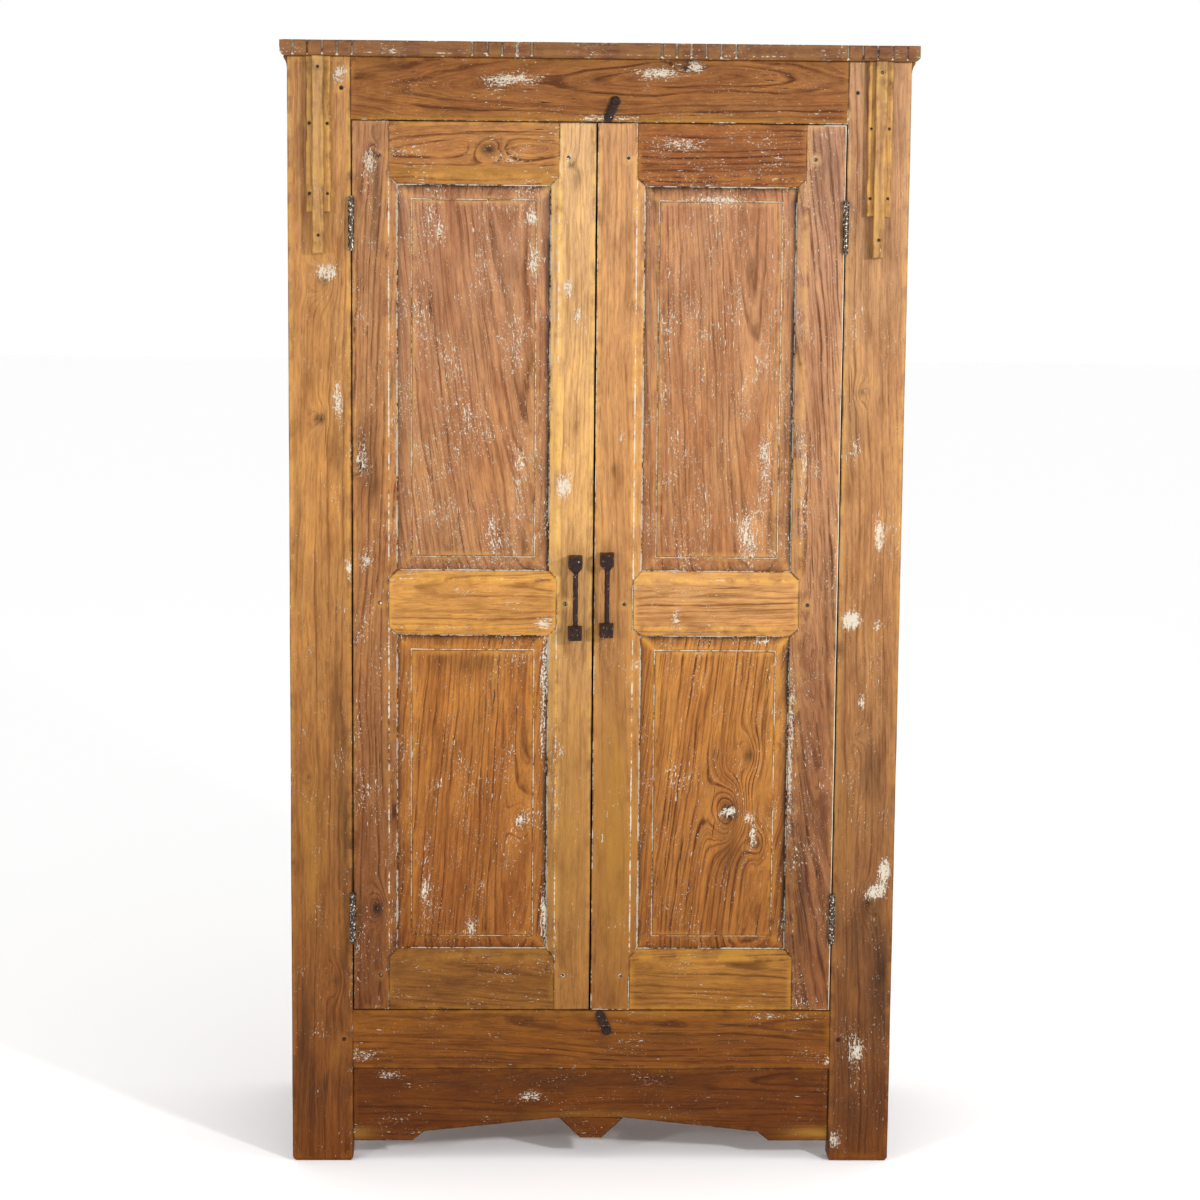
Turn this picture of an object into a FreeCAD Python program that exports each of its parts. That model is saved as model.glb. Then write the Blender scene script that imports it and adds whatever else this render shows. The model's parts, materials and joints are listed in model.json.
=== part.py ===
import FreeCAD, Part
import Sketcher
import os
import re

# A two-door armoire in reclaimed teak: a mortised post-and-rail carcass with fielded
# panels, a plank back, fixed shelves, a pair of flush frame-and-panel doors on butt
# hinges, forged iron pulls and two iron turn buttons.
# Frame: +X to the right and -Y to the front as one faces the doors, +Z up. The origin is
# the middle of the footprint, pulls included, at floor level. Millimetres.

DIMENSIONS = {
    # carcass
    "overall_height": 1900,
    "carcass_width": 1028,
    "carcass_depth": 460,
    "post_width": 104,
    "front_frame_thickness": 38,
    "rear_post_width": 60,
    "rear_post_depth": 40,
    "foot_bevel_height": 7,
    "foot_bevel_inset": 4,
    "foot_gap": 35,
    "apron_height": 130,
    "bottom_rail_height": 103,
    "top_rail_height": 102,
    # top board and cornice
    "top_board_thickness": 25,
    "top_board_side_overhang": 10,
    "top_board_front_overhang": 25,
    "top_board_bevel": 5,
    "kerf_width": 1.8,
    "kerf_depth": 3,
    "kerf_pitch": 24.3,
    "kerf_end_inset": 21,
    "kerf_middle_distance": 161,
    "cornice_height": 18,
    "cornice_projection": 5.5,
    "cornice_lip": 3,
    # apron
    "apron_thickness": 22,
    "apron_setback": 5,
    "apron_end_width": 102,
    "apron_step_run": 20,
    "apron_step_rise": 16,
    "apron_middle_rise": 41,
    "drop_top_width": 112,
    "drop_bottom_width": 36,
    "drop_bottom_rise": 5,
    # side frames and back
    "side_recess": 4,
    "side_rail_thickness": 24,
    "back_rail_thickness": 22,
    "back_rail_height": 83,
    "back_board_thickness": 12,
    "back_board_gap": 1.5,
    # joinery
    "tenon_thickness": 9,
    "tenon_length": 30,
    "tenon_shoulder": 12,
    "side_tenon_length": 22,
    "mortise_end_play": 1,
    "peg_radius": 3,
    "peg_length": 20,
    "peg_distance": 45,
    "groove_width": 6.4,
    "groove_depth": 9,
    "groove_setback": 11,
    "tongue_thickness": 6,
    "tongue_length": 8,
    "panel_bevel_width": 25,
    "panel_bevel_back": 11.2,
    "panel_bevel_front": 4,
    "panel_field_front": 2,
    "panel_play": 0.5,
    # inside
    "board_thickness": 20,
    "cleat_size": 20,
    "shelf_play": 1,
    "stop_height": 14,
    "stop_play": 1,
    # pilaster strips
    "back_strip_width": 40,
    "back_strip_thickness": 12,
    "back_strip_length": 253,
    "front_strip_width": 19,
    "front_strip_thickness": 10,
    "front_strip_length": 321,
    "nail_radius": 2.2,
    "nail_grip": 14,
    "head_nail_distance": 18,
    "pair_nail_distance": 109,
    "foot_nail_distance": 30,
    # doors
    "door_thickness": 25,
    "door_gap": 1.5,
    "meeting_gap": 3,
    "meeting_offset": -4,
    "left_stile_width": 73.5,
    "right_stile_width": 78.5,
    "sticking_width": 13,
    "sticking_depth": 7,
    "door_top_rail_height": 102,
    "door_middle_rail_height": 109,
    "door_middle_rail_rise": 648,
    "door_bottom_rail_height": 105,
    # hinges
    "hinge_gap": 2,
    "hinge_length": 85,
    "hinge_top_distance": 125,
    "hinge_bottom_distance": 119,
    "leaf_thickness": 2,
    "leaf_depth": 23,
    "leaf_play": 0.2,
    "barrel_radius": 5,
    "barrel_play": 0.3,
    "knuckle_gap": 0.4,
    "hinge_pin_radius": 2.5,
    "hinge_pin_play": 0.05,
    "hinge_pin_tip": 2,
    "screw_head_radius": 3.6,
    "screw_shank_radius": 1.7,
    "screw_head_length": 1.9,
    "screw_shank_length": 16,
    # pulls
    "pull_projection": 32,
    "pull_bar_radius": 4.2,
    "pull_bar_setback": 7,
    "pull_block_spacing": 120,
    "pull_block_width": 24,
    "pull_block_height": 23,
    "pull_block_draft": 1.5,
    "pull_shoulder_width": 18,
    "pull_shoulder_length": 5,
    "left_pull_distance": 29,
    "right_pull_distance": 21,
    "left_pull_rise": 714,
    "right_pull_rise": 719,
    "stud_radius": 2.5,
    "stud_tail": 6,
    "nut_radius": 6,
    "nut_thickness": 4,
    # turn buttons
    "button_offset": 29,
    "button_tilt": 22,
    "button_reach": 29,
    "button_head_radius": 8.5,
    "button_foot_radius": 7.5,
    "button_thickness": 4,
    "button_face_gap": 1,
    "button_edge_gap": 0.8,
    "pivot_radius": 2.5,
    "pivot_play": 0.06,
    "pivot_head_radius": 5.5,
    "pivot_head_thickness": 2.5,
    "pivot_head_gap": 0.5,
    "pivot_depth": 20,
}

SHELF_COUNT = 3
BACK_BOARD_COUNT = 8
KNUCKLE_COUNT = 5
SCREWS_PER_LEAF = 3
OUTER_KERFS = 5
MIDDLE_KERFS = 6

# ---------------------------------------------------------------- places, as expressions
HALF_WIDTH = "(carcass_width/2)"
HALF_OPENING = "(carcass_width/2 - post_width)"
FRONT = "((pull_projection - carcass_depth)/2)"
BACK = "((pull_projection + carcass_depth)/2)"
FRAME_BACK = f"({FRONT} + front_frame_thickness)"
REAR_POST_FRONT = f"({BACK} - rear_post_depth)"
REAR_POST_EDGE = "(carcass_width/2 - rear_post_width)"
BOARD_FRONT = f"({BACK} - back_board_thickness)"
POST_TOP = "(overall_height - top_board_thickness)"
RAIL_FOOT = "(foot_gap + apron_height)"
OPENING_FOOT = f"({RAIL_FOOT} + bottom_rail_height)"
OPENING_HEAD = f"({POST_TOP} - top_rail_height)"
SIDE_FACE = "(carcass_width/2 - side_recess)"
SIDE_INSIDE = f"({SIDE_FACE} - side_rail_thickness)"
APRON_FRONT = f"({FRONT} + apron_setback)"
APRON_MIDDLE = "(foot_gap + apron_middle_rise)"
DOOR_FOOT = f"({OPENING_FOOT} + door_gap)"
DOOR_HEAD = f"({OPENING_HEAD} - door_gap)"
DOOR_BACK = f"({FRONT} + door_thickness)"
LOCK_FOOT = f"({DOOR_FOOT} + door_middle_rail_rise)"
LOCK_HEAD = f"({LOCK_FOOT} + door_middle_rail_height)"
HINGE_X = f"({HALF_OPENING} - hinge_gap/2)"
HINGE_Y = f"({FRONT} - barrel_radius - barrel_play)"
BUTTON_X = "(meeting_offset + button_offset)"
BUTTON_BACK = f"({FRONT} - button_face_gap)"
BUTTON_SPAN = "(button_reach*cos(button_tilt) + button_foot_radius + button_edge_gap)"

SIDES = {"left": -1, "right": 1}
UPPER_HINGE_HEAD = f"({DOOR_HEAD} - hinge_top_distance)"
LOWER_HINGE_FOOT = f"({DOOR_FOOT} + hinge_bottom_distance)"
LEVELS = {
    "upper": (f"({UPPER_HINGE_HEAD} - hinge_length)", UPPER_HINGE_HEAD),
    "lower": (LOWER_HINGE_FOOT, f"({LOWER_HINGE_FOOT} + hinge_length)"),
}

doc = FreeCAD.newDocument("Armoire")
sheet = doc.addObject("Spreadsheet::Sheet", "Dimensions")
for row, (alias, value) in enumerate(DIMENSIONS.items(), start=1):
    sheet.set(f"A{row}", alias)
    sheet.set(f"B{row}", str(value))
    sheet.setAlias(f"B{row}", alias)
doc.recompute()

ALIAS = re.compile(r"\b(" + "|".join(DIMENSIONS) + r")\b")
pieces = {}


# ---------------------------------------------------------------- helpers
def in_sheet(expression):
    return ALIAS.sub(r"Dimensions.\1", str(expression))


def number(expression):
    return float(sheet.evalExpression(in_sheet(expression)))


def bind(item, prop, expression):
    item.setExpression(prop, in_sheet(expression))


def place(item, corner, rotation=None):
    if rotation is not None:
        item.Placement = FreeCAD.Placement(FreeCAD.Vector(), rotation)
    for axis, expression in zip("xyz", corner):
        bind(item, f"Placement.Base.{axis}", expression)


def turned(local_x, local_y):
    """The rotation that sends local X and Y to these directions."""
    x_axis = FreeCAD.Vector(*local_x)
    y_axis = FreeCAD.Vector(*local_y)
    return FreeCAD.Rotation(x_axis, y_axis, x_axis.cross(y_axis), "ZXY")


# local Z points along the named direction
ALONG = {
    "+x": turned((0, 0, -1), (0, 1, 0)),
    "-x": turned((0, 0, 1), (0, 1, 0)),
    "+y": turned((1, 0, 0), (0, 0, -1)),
    "+z": turned((1, 0, 0), (0, 1, 0)),
}
UPRIGHT = turned((1, 0, 0), (0, 0, 1))


def on_side(side, near, far):
    """The X range from near to far, counted from the middle towards that side."""
    return (near, far) if side > 0 else (f"-({far})", f"-({near})")


def side_depths(side, near, far):
    """The X range between two depths in from a side frame's outer face."""
    return on_side(side, f"({SIDE_FACE} - ({far}))", f"({SIDE_FACE} - ({near}))")


def around(middle, width):
    return (f"{middle} - ({width})/2", f"{middle} + ({width})/2")


def board(name, x_range, y_range, z_range):
    item = doc.addObject("Part::Box", name)
    ranges = (x_range, y_range, z_range)
    place(item, [low for low, high in ranges])
    for prop, (low, high) in zip(("Length", "Width", "Height"), ranges):
        bind(item, prop, f"({high}) - ({low})")
    return item


def wedge(name, near, far, run, corner, rotation):
    """A block whose section changes from near to far over its run along local Y; each
    section is a local X range and a local Z range."""
    item = doc.addObject("Part::Wedge", name)
    place(item, corner, rotation)
    (near_x, near_z), (far_x, far_z) = near, far
    sizes = {
        "Xmin": near_x[0], "Xmax": near_x[1], "Zmin": near_z[0], "Zmax": near_z[1],
        "X2min": far_x[0], "X2max": far_x[1], "Z2min": far_z[0], "Z2max": far_z[1],
        "Ymin": "0", "Ymax": run,
    }
    for prop, expression in sizes.items():
        bind(item, prop, expression)
    return item


def rod(name, start, direction, radius, length):
    item = doc.addObject("Part::Cylinder", name)
    place(item, start, ALONG[direction])
    bind(item, "Radius", radius)
    bind(item, "Height", length)
    return item


def fuse(name, *parts):
    item = doc.addObject("Part::MultiFuse", name)
    item.Shapes = list(parts)
    item.Refine = True
    return item


def cut(name, base, *tools):
    item = doc.addObject("Part::Cut", name)
    item.Base = base
    item.Tool = tools[0] if len(tools) == 1 else fuse(f"{name}_cutters", *tools)
    return item


def node(name, item):
    """Names a finished sub-part; the name is also its file's."""
    item.Label = name
    pieces[name] = item
    return item


def group(name, parts):
    """Equal pieces, each its own solid, kept under one name."""
    item = doc.addObject("Part::Compound", name)
    item.Links = list(parts)
    return node(name, item)


def prism(name, outline, front, thickness):
    """A plate cut to an outline of (x, z) corners and padded back from its front face."""
    body = doc.addObject("PartDesign::Body", f"{name}_body")
    plane = next(item for item in body.Origin.OriginFeatures if item.Role == "XZ_Plane")
    sketch = body.newObject("Sketcher::SketchObject", f"{name}_outline")
    sketch.AttachmentSupport = [(plane, "")]
    sketch.MapMode = "FlatFace"
    corners = [FreeCAD.Vector(number(x), number(z), 0) for x, z in outline]
    for index, corner in enumerate(corners):
        sketch.addGeometry(Part.LineSegment(corners[index - 1], corner))
    for index, (corner, expressions) in enumerate(zip(corners, outline)):
        after = (index + 1) % len(corners)
        sketch.addConstraint(Sketcher.Constraint("Coincident", index, 2, after, 1))
        for kind, axis, expression in zip(("DistanceX", "DistanceY"), "xy", expressions):
            distance = getattr(corner, axis)
            row = sketch.addConstraint(Sketcher.Constraint(kind, -1, 1, index, 2, distance))
            sketch.renameConstraint(row, f"{axis}{index}")
            bind(sketch, f"Constraints.{axis}{index}", expression)
    pad = body.newObject("PartDesign::Pad", f"{name}_pad")
    pad.Profile = sketch
    pad.Reversed = True
    bind(pad, "Length", thickness)
    bind(body, "Placement.Base.y", front)
    return body


# ---------------------------------------------------------------- joinery
def tenon(name, shoulder, side, depths, levels, length="tenon_length"):
    """A rail's tenon from its shoulder outwards; made longer, it cuts the mortise."""
    reach = (shoulder, f"{shoulder} + {length}") if side > 0 else (f"{shoulder} - {length}", shoulder)
    low, high = levels
    return board(name, reach, depths, (f"{low} + tenon_shoulder", f"{high} - tenon_shoulder"))


MORTISE_LENGTH = "(tenon_length + mortise_end_play)"


def side_tenon(name, side, reach, levels):
    low, high = levels
    return board(name, side_depths(side, *around("side_rail_thickness/2", "tenon_thickness")),
                 reach, (f"{low} + tenon_shoulder", f"{high} - tenon_shoulder"))


def peg(name, x, z):
    return rod(name, (x, FRONT, z), "+y", "peg_radius", "peg_length")


def screw(name, start, direction):
    """A countersunk wood screw, its head flush with start."""
    head = doc.addObject("Part::Cone", f"{name}_head")
    place(head, start, ALONG[direction])
    bind(head, "Radius1", "screw_head_radius")
    bind(head, "Radius2", "screw_shank_radius")
    bind(head, "Height", "screw_head_length")
    x, y, z = start
    neck = (f"{x} {direction[0]} screw_head_length", y, z)
    shank = rod(f"{name}_shank", neck, direction, "screw_shank_radius", "screw_shank_length")
    return fuse(name, head, shank)


def fielded_panel(name, across, levels, outer_face, rotation, corner):
    """A raised and fielded panel: a tongue all round, a wide bevel, a small step and a
    flat field. across and levels are the daylight of its frame, in local X and Z, and
    local Y runs back from the frame's outer face."""
    tongue = ("-tongue_length", "tongue_length")
    play = ("panel_play", "-panel_play")
    bevel = ("panel_bevel_width", "-panel_bevel_width")

    def inset(spread, span):
        return tuple(f"{edge} + {shift}" for edge, shift in zip(span, spread))

    def slab(part, near_spread, far_spread, front, back):
        near = (inset(near_spread, across), inset(near_spread, levels))
        far = (inset(far_spread, across), inset(far_spread, levels))
        start = [f"{base} + {step}*({front})" for base, step in zip(corner, outer_face)]
        return wedge(f"{name}_{part}", near, far, f"({back}) - ({front})", start, rotation)

    plate = slab("tongue", tongue, tongue, "panel_bevel_back", "panel_bevel_back + tongue_thickness")
    slope = slab("bevel", bevel, play, "panel_bevel_front", "panel_bevel_back")
    field = slab("field", bevel, bevel, "panel_field_front", "panel_bevel_front")
    return node(name, fuse(name, plate, slope, field))


# ---------------------------------------------------------------- levels of the rails
MIDDLE_TENON = around(f"({FRONT} + front_frame_thickness/2)", "tenon_thickness")
APRON_TENON = around(f"({APRON_FRONT} + apron_thickness/2)", "tenon_thickness")
BACK_TENON = around(f"({BOARD_FRONT} - back_rail_thickness/2)", "tenon_thickness")
FRONT_RAILS = {
    "front_top_rail": (OPENING_HEAD, POST_TOP),
    "front_bottom_rail": (RAIL_FOOT, OPENING_FOOT),
}
APRON_LEVELS = ("foot_gap", RAIL_FOOT)
FLOOR_FOOT = f"({OPENING_FOOT} - board_thickness)"
BACK_RAILS = {
    "back_top_rail": (f"({POST_TOP} - back_rail_height)", POST_TOP),
    "back_bottom_rail": (f"({FLOOR_FOOT} - back_rail_height)", FLOOR_FOOT),
}
SIDE_RAILS = {
    "top": (OPENING_HEAD, POST_TOP),
    "middle": (f"({LOCK_FOOT} + sticking_width)", f"({LOCK_HEAD} - sticking_width)"),
    "bottom": (RAIL_FOOT, OPENING_FOOT),
}
SIDE_DAYLIGHTS = {
    "upper": (SIDE_RAILS["middle"][1], SIDE_RAILS["top"][0]),
    "lower": (SIDE_RAILS["bottom"][1], SIDE_RAILS["middle"][0]),
}
GROOVE = ("groove_setback", "groove_setback + groove_width")

# ---------------------------------------------------------------- iron that also cuts wood
front_pegs = {}
for rail, (low, high) in FRONT_RAILS.items():
    for hand, side in SIDES.items():
        peg_x = f"{side}*({HALF_OPENING} + tenon_length/2)"
        front_pegs[rail, hand] = peg(f"{rail}_{hand}_peg", peg_x, f"({low} + {high})/2")


def leaf_screws(hand, leaf):
    """The screws of a door's upper and lower hinges, in the frame's or the door's leaf."""
    side = SIDES[hand]
    towards_post = leaf == "frame"
    direction = "+x" if towards_post == (side > 0) else "-x"
    offset = "leaf_play/2" if towards_post else "-leaf_play/2"
    x, y = f"{side}*({HINGE_X} + {offset})", f"{FRONT} + leaf_depth/2"
    made = []
    for level, (low, high) in LEVELS.items():
        for index in range(SCREWS_PER_LEAF):
            z = f"{low} + hinge_length*{2*index + 1}/{2*SCREWS_PER_LEAF}"
            made.append(screw(f"{hand}_{leaf}_{level}_screw_{index + 1}", (x, y, z), direction))
    return made


screws = {(hand, leaf): leaf_screws(hand, leaf) for hand in SIDES for leaf in ("frame", "door")}

PIVOT_LEVELS = {
    "top": f"({DOOR_HEAD} + {BUTTON_SPAN})",
    "bottom": f"({DOOR_FOOT} - {BUTTON_SPAN})",
}
pivots = {}
for level, height in PIVOT_LEVELS.items():
    head_y = f"{BUTTON_BACK} - button_thickness - pivot_head_gap - pivot_head_thickness"
    pivot_head = rod(f"{level}_pivot_head", (BUTTON_X, head_y, height), "+y",
                     "pivot_head_radius", "pivot_head_thickness")
    pivot_shank = rod(f"{level}_pivot_shank", (BUTTON_X, head_y, height), "+y", "pivot_radius",
                      f"{FRONT} + pivot_depth - ({head_y})")
    pivots[level] = fuse(f"{level}_pivot", pivot_head, pivot_shank)
group("turn_button_pivots", pivots.values())

STRIP_X = f"({HALF_WIDTH} - post_width/2)"
BACK_STRIP_FACE = f"({FRONT} - back_strip_thickness)"
FRONT_STRIP_FACE = f"({BACK_STRIP_FACE} - front_strip_thickness)"
BACK_STRIP_FOOT = f"({POST_TOP} - back_strip_length)"
FRONT_STRIP_FOOT = f"({POST_TOP} - front_strip_length)"


def nail(name, x, face, z):
    """A nail from a strip's face into the post behind it."""
    return rod(name, (x, face, z), "+y", "nail_radius", f"{FRONT} + nail_grip - {face}")


def strip_nails(hand):
    """Nails down the front strip's middle, and pairs either side of it."""
    centre = f"{SIDES[hand]}*{STRIP_X}"
    aside = "((back_strip_width + front_strip_width)/4)"
    single = {"head": f"({POST_TOP} - head_nail_distance)",
              "foot": f"({FRONT_STRIP_FOOT} + foot_nail_distance)"}
    paired = {"high": f"({POST_TOP} - pair_nail_distance)",
              "low": f"({BACK_STRIP_FOOT} + foot_nail_distance)"}
    made = [nail(f"{hand}_{row}_nail", centre, FRONT_STRIP_FACE, height) for row, height in single.items()]
    made += [nail(f"{hand}_{row}_nail", f"{centre} {sign} {aside}", BACK_STRIP_FACE, height)
             for row, height in paired.items() for sign in "-+"]
    return made


nails = {hand: strip_nails(hand) for hand in SIDES}
group("carcass_pegs_and_nails", [*front_pegs.values(), *nails["left"], *nails["right"]])

# ---------------------------------------------------------------- posts
def post_blank(name, x_range, y_range):
    """A squared post whose foot is bevelled all round."""
    shaft = board(f"{name}_shaft", x_range, y_range, ("foot_bevel_height", POST_TOP))
    (x_low, x_high), (y_low, y_high) = x_range, y_range
    inner = ((f"{x_low} + foot_bevel_inset", f"{x_high} - foot_bevel_inset"),
             (f"foot_bevel_inset - ({y_high})", f"-foot_bevel_inset - ({y_low})"))
    outer = ((x_low, x_high), (f"-({y_high})", f"-({y_low})"))
    foot = wedge(f"{name}_foot", inner, outer, "foot_bevel_height", ("0", "0", "0"), UPRIGHT)
    return fuse(f"{name}_blank", shaft, foot)


def side_frame_cuts(name, side, rail_reach, groove_reach):
    """The mortises and panel grooves that a side frame needs in one of its posts."""
    mortises = [side_tenon(f"{name}_{rail}_side_mortise", side, rail_reach, levels)
                for rail, levels in SIDE_RAILS.items()]
    grooves = [board(f"{name}_{panel}_side_groove", side_depths(side, *GROOVE), groove_reach,
                     (f"{low} - groove_depth", f"{high} + groove_depth"))
               for panel, (low, high) in SIDE_DAYLIGHTS.items()]
    return mortises + grooves


LEAF_RECESS = "(leaf_thickness + leaf_play/2 - hinge_gap/2)"
LEAF_DEPTHS = (FRONT, f"({FRONT} + leaf_depth)")
SIDE_MORTISE = "(side_tenon_length + mortise_end_play)"

for hand, side in SIDES.items():
    name = f"{hand}_front_post"
    shoulder = f"{side}*{HALF_OPENING}"
    cutters = [tenon(f"{name}_{rail}_mortise", shoulder, side, MIDDLE_TENON, levels, MORTISE_LENGTH)
               for rail, levels in FRONT_RAILS.items()]
    cutters.append(tenon(f"{name}_apron_mortise", shoulder, side, APRON_TENON, APRON_LEVELS,
                         MORTISE_LENGTH))
    cutters += side_frame_cuts(name, side, (f"{FRAME_BACK} - {SIDE_MORTISE}", FRAME_BACK),
                               (f"{FRAME_BACK} - groove_depth", FRAME_BACK))
    recess = on_side(side, HALF_OPENING, f"{HALF_OPENING} + {LEAF_RECESS}")
    cutters += [board(f"{name}_{level}_recess", recess, LEAF_DEPTHS, levels)
                for level, levels in LEVELS.items()]
    cutters += [front_pegs[rail, hand] for rail in FRONT_RAILS]
    blank = post_blank(name, on_side(side, HALF_OPENING, HALF_WIDTH), (FRONT, FRAME_BACK))
    node(name, cut(name, blank, *cutters, *screws[hand, "frame"], *nails[hand]))

for hand, side in SIDES.items():
    name = f"{hand}_rear_post"
    shoulder = f"{side}*{REAR_POST_EDGE}"
    cutters = [tenon(f"{name}_{rail}_mortise", shoulder, side, BACK_TENON, levels, MORTISE_LENGTH)
               for rail, levels in BACK_RAILS.items()]
    cutters += side_frame_cuts(name, side, (REAR_POST_FRONT, f"{REAR_POST_FRONT} + {SIDE_MORTISE}"),
                               (REAR_POST_FRONT, f"{REAR_POST_FRONT} + groove_depth"))
    blank = post_blank(name, on_side(side, REAR_POST_EDGE, HALF_WIDTH), (REAR_POST_FRONT, BACK))
    node(name, cut(name, blank, *cutters))

# ---------------------------------------------------------------- front and back rails
for rail, level in (("front_top_rail", "top"), ("front_bottom_rail", "bottom")):
    levels = FRONT_RAILS[rail]
    parts = [board(f"{rail}_plank", (f"-{HALF_OPENING}", HALF_OPENING), (FRONT, FRAME_BACK), levels)]
    parts += [tenon(f"{rail}_{hand}_tenon", f"{side}*{HALF_OPENING}", side, MIDDLE_TENON, levels)
              for hand, side in SIDES.items()]
    cutters = [front_pegs[rail, hand] for hand in SIDES]
    node(rail, cut(rail, fuse(f"{rail}_blank", *parts), *cutters, pivots[level]))

for rail, levels in BACK_RAILS.items():
    depths = (f"{BOARD_FRONT} - back_rail_thickness", BOARD_FRONT)
    parts = [board(f"{rail}_plank", (f"-{REAR_POST_EDGE}", REAR_POST_EDGE), depths, levels)]
    parts += [tenon(f"{rail}_{hand}_tenon", f"{side}*{REAR_POST_EDGE}", side, BACK_TENON, levels)
              for hand, side in SIDES.items()]
    node(rail, fuse(rail, *parts))

# The apron's underside steps up from each post and slopes to the middle, where a
# tapered drop is glued on.
STEP_X = f"({HALF_OPENING} - apron_end_width)"
STEP_TOP = "(foot_gap + apron_step_rise)"
apron_half = [
    ("drop_top_width/2", APRON_MIDDLE),
    (f"{STEP_X} - apron_step_run", STEP_TOP),
    (STEP_X, "foot_gap"),
    (HALF_OPENING, "foot_gap"),
    (HALF_OPENING, RAIL_FOOT),
]
apron_outline = apron_half + [(f"-({x})", z) for x, z in reversed(apron_half)]
apron_parts = [prism("front_apron", apron_outline, APRON_FRONT, "apron_thickness")]
apron_parts += [
    tenon(f"front_apron_{hand}_tenon", f"{side}*{HALF_OPENING}", side, APRON_TENON, APRON_LEVELS)
    for hand, side in SIDES.items()]
node("front_apron", fuse("front_apron", *apron_parts))

DROP_FOOT = "(foot_gap + drop_bottom_rise)"
drop_outline = [("-drop_top_width/2", APRON_MIDDLE), ("-drop_bottom_width/2", DROP_FOOT),
                ("drop_bottom_width/2", DROP_FOOT), ("drop_top_width/2", APRON_MIDDLE)]
node("apron_drop", prism("apron_drop", drop_outline, APRON_FRONT, "apron_thickness"))

# ---------------------------------------------------------------- side frames
INWARD = {-1: turned((0, -1, 0), (1, 0, 0)), 1: turned((0, 1, 0), (-1, 0, 0))}
SIDE_SPAN = (FRAME_BACK, REAR_POST_FRONT)
SIDE_TENON_REACHES = {
    "front": (f"{FRAME_BACK} - side_tenon_length", FRAME_BACK),
    "rear": (REAR_POST_FRONT, f"{REAR_POST_FRONT} + side_tenon_length"),
}
for hand, side in SIDES.items():
    for rail, levels in SIDE_RAILS.items():
        name = f"{hand}_side_{rail}_rail"
        parts = [board(f"{name}_plank", side_depths(side, "0", "side_rail_thickness"), SIDE_SPAN, levels)]
        parts += [side_tenon(f"{name}_{end}_tenon", side, reach, levels)
                  for end, reach in SIDE_TENON_REACHES.items()]
        low, high = levels
        slots = {}
        if rail != "top":
            slots["upper"] = (f"{high} - groove_depth", high)
        if rail != "bottom":
            slots["lower"] = (low, f"{low} + groove_depth")
        cutters = [board(f"{name}_{slot}_groove", side_depths(side, *GROOVE), SIDE_SPAN, slot_levels)
                   for slot, slot_levels in slots.items()]
        node(name, cut(name, fuse(f"{name}_blank", *parts), *cutters))
    for panel, levels in SIDE_DAYLIGHTS.items():
        across = SIDE_SPAN if side > 0 else (f"-{REAR_POST_FRONT}", f"-{FRAME_BACK}")
        fielded_panel(f"{hand}_side_{panel}_panel", across, levels, (-side, 0, 0), INWARD[side],
                      (f"{side}*{SIDE_FACE}", "0", "0"))

# ---------------------------------------------------------------- back, floor and shelves
BACK_PITCH = f"(2*{REAR_POST_EDGE}/{BACK_BOARD_COUNT})"
group("back_boards", [
    board(f"back_board_{index + 1}",
          (f"-{REAR_POST_EDGE} + {BACK_PITCH}*{index} + back_board_gap/2",
           f"-{REAR_POST_EDGE} + {BACK_PITCH}*{index + 1} - back_board_gap/2"),
          (BOARD_FRONT, BACK), (BACK_RAILS["back_bottom_rail"][0], POST_TOP))
    for index in range(BACK_BOARD_COUNT)])


def shelf(name, foot):
    """A board between the side frames, notched round the rear posts."""
    levels = (foot, f"{foot} + board_thickness")
    plank = board(f"{name}_plank", (f"shelf_play - {SIDE_INSIDE}", f"{SIDE_INSIDE} - shelf_play"),
                  (FRAME_BACK, f"{BOARD_FRONT} - shelf_play"), levels)
    notches = [board(f"{name}_{hand}_notch", on_side(side, f"{REAR_POST_EDGE} - shelf_play", HALF_WIDTH),
                     (f"{REAR_POST_FRONT} - shelf_play", BACK), levels)
               for hand, side in SIDES.items()]
    return node(name, cut(name, plank, *notches))


SHELF_PITCH = f"(({POST_TOP} - {OPENING_FOOT})/{SHELF_COUNT + 1})"
shelf_feet = [f"({FLOOR_FOOT} + {SHELF_PITCH}*{index})" for index in range(SHELF_COUNT + 1)]
for index, foot in enumerate(shelf_feet):
    shelf(f"shelf_{index}" if index else "cabinet_floor", foot)
group("shelf_cleats", [
    board(f"{hand}_cleat_{index + 1}", on_side(side, f"{SIDE_INSIDE} - cleat_size", SIDE_INSIDE),
          (FRAME_BACK, REAR_POST_FRONT), (f"{foot} - cleat_size", foot))
    for hand, side in SIDES.items() for index, foot in enumerate(shelf_feet)])

STOP_DEPTHS = (f"{DOOR_BACK} + stop_play", FRAME_BACK)
STOP_REACH = (f"stop_play - {HALF_OPENING}", f"{HALF_OPENING} - stop_play")
group("door_stops", [
    board("top_stop", STOP_REACH, STOP_DEPTHS, (f"{OPENING_HEAD} - stop_height", OPENING_HEAD)),
    board("bottom_stop", STOP_REACH, STOP_DEPTHS, (OPENING_FOOT, f"{OPENING_FOOT} + stop_height"))])

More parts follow.
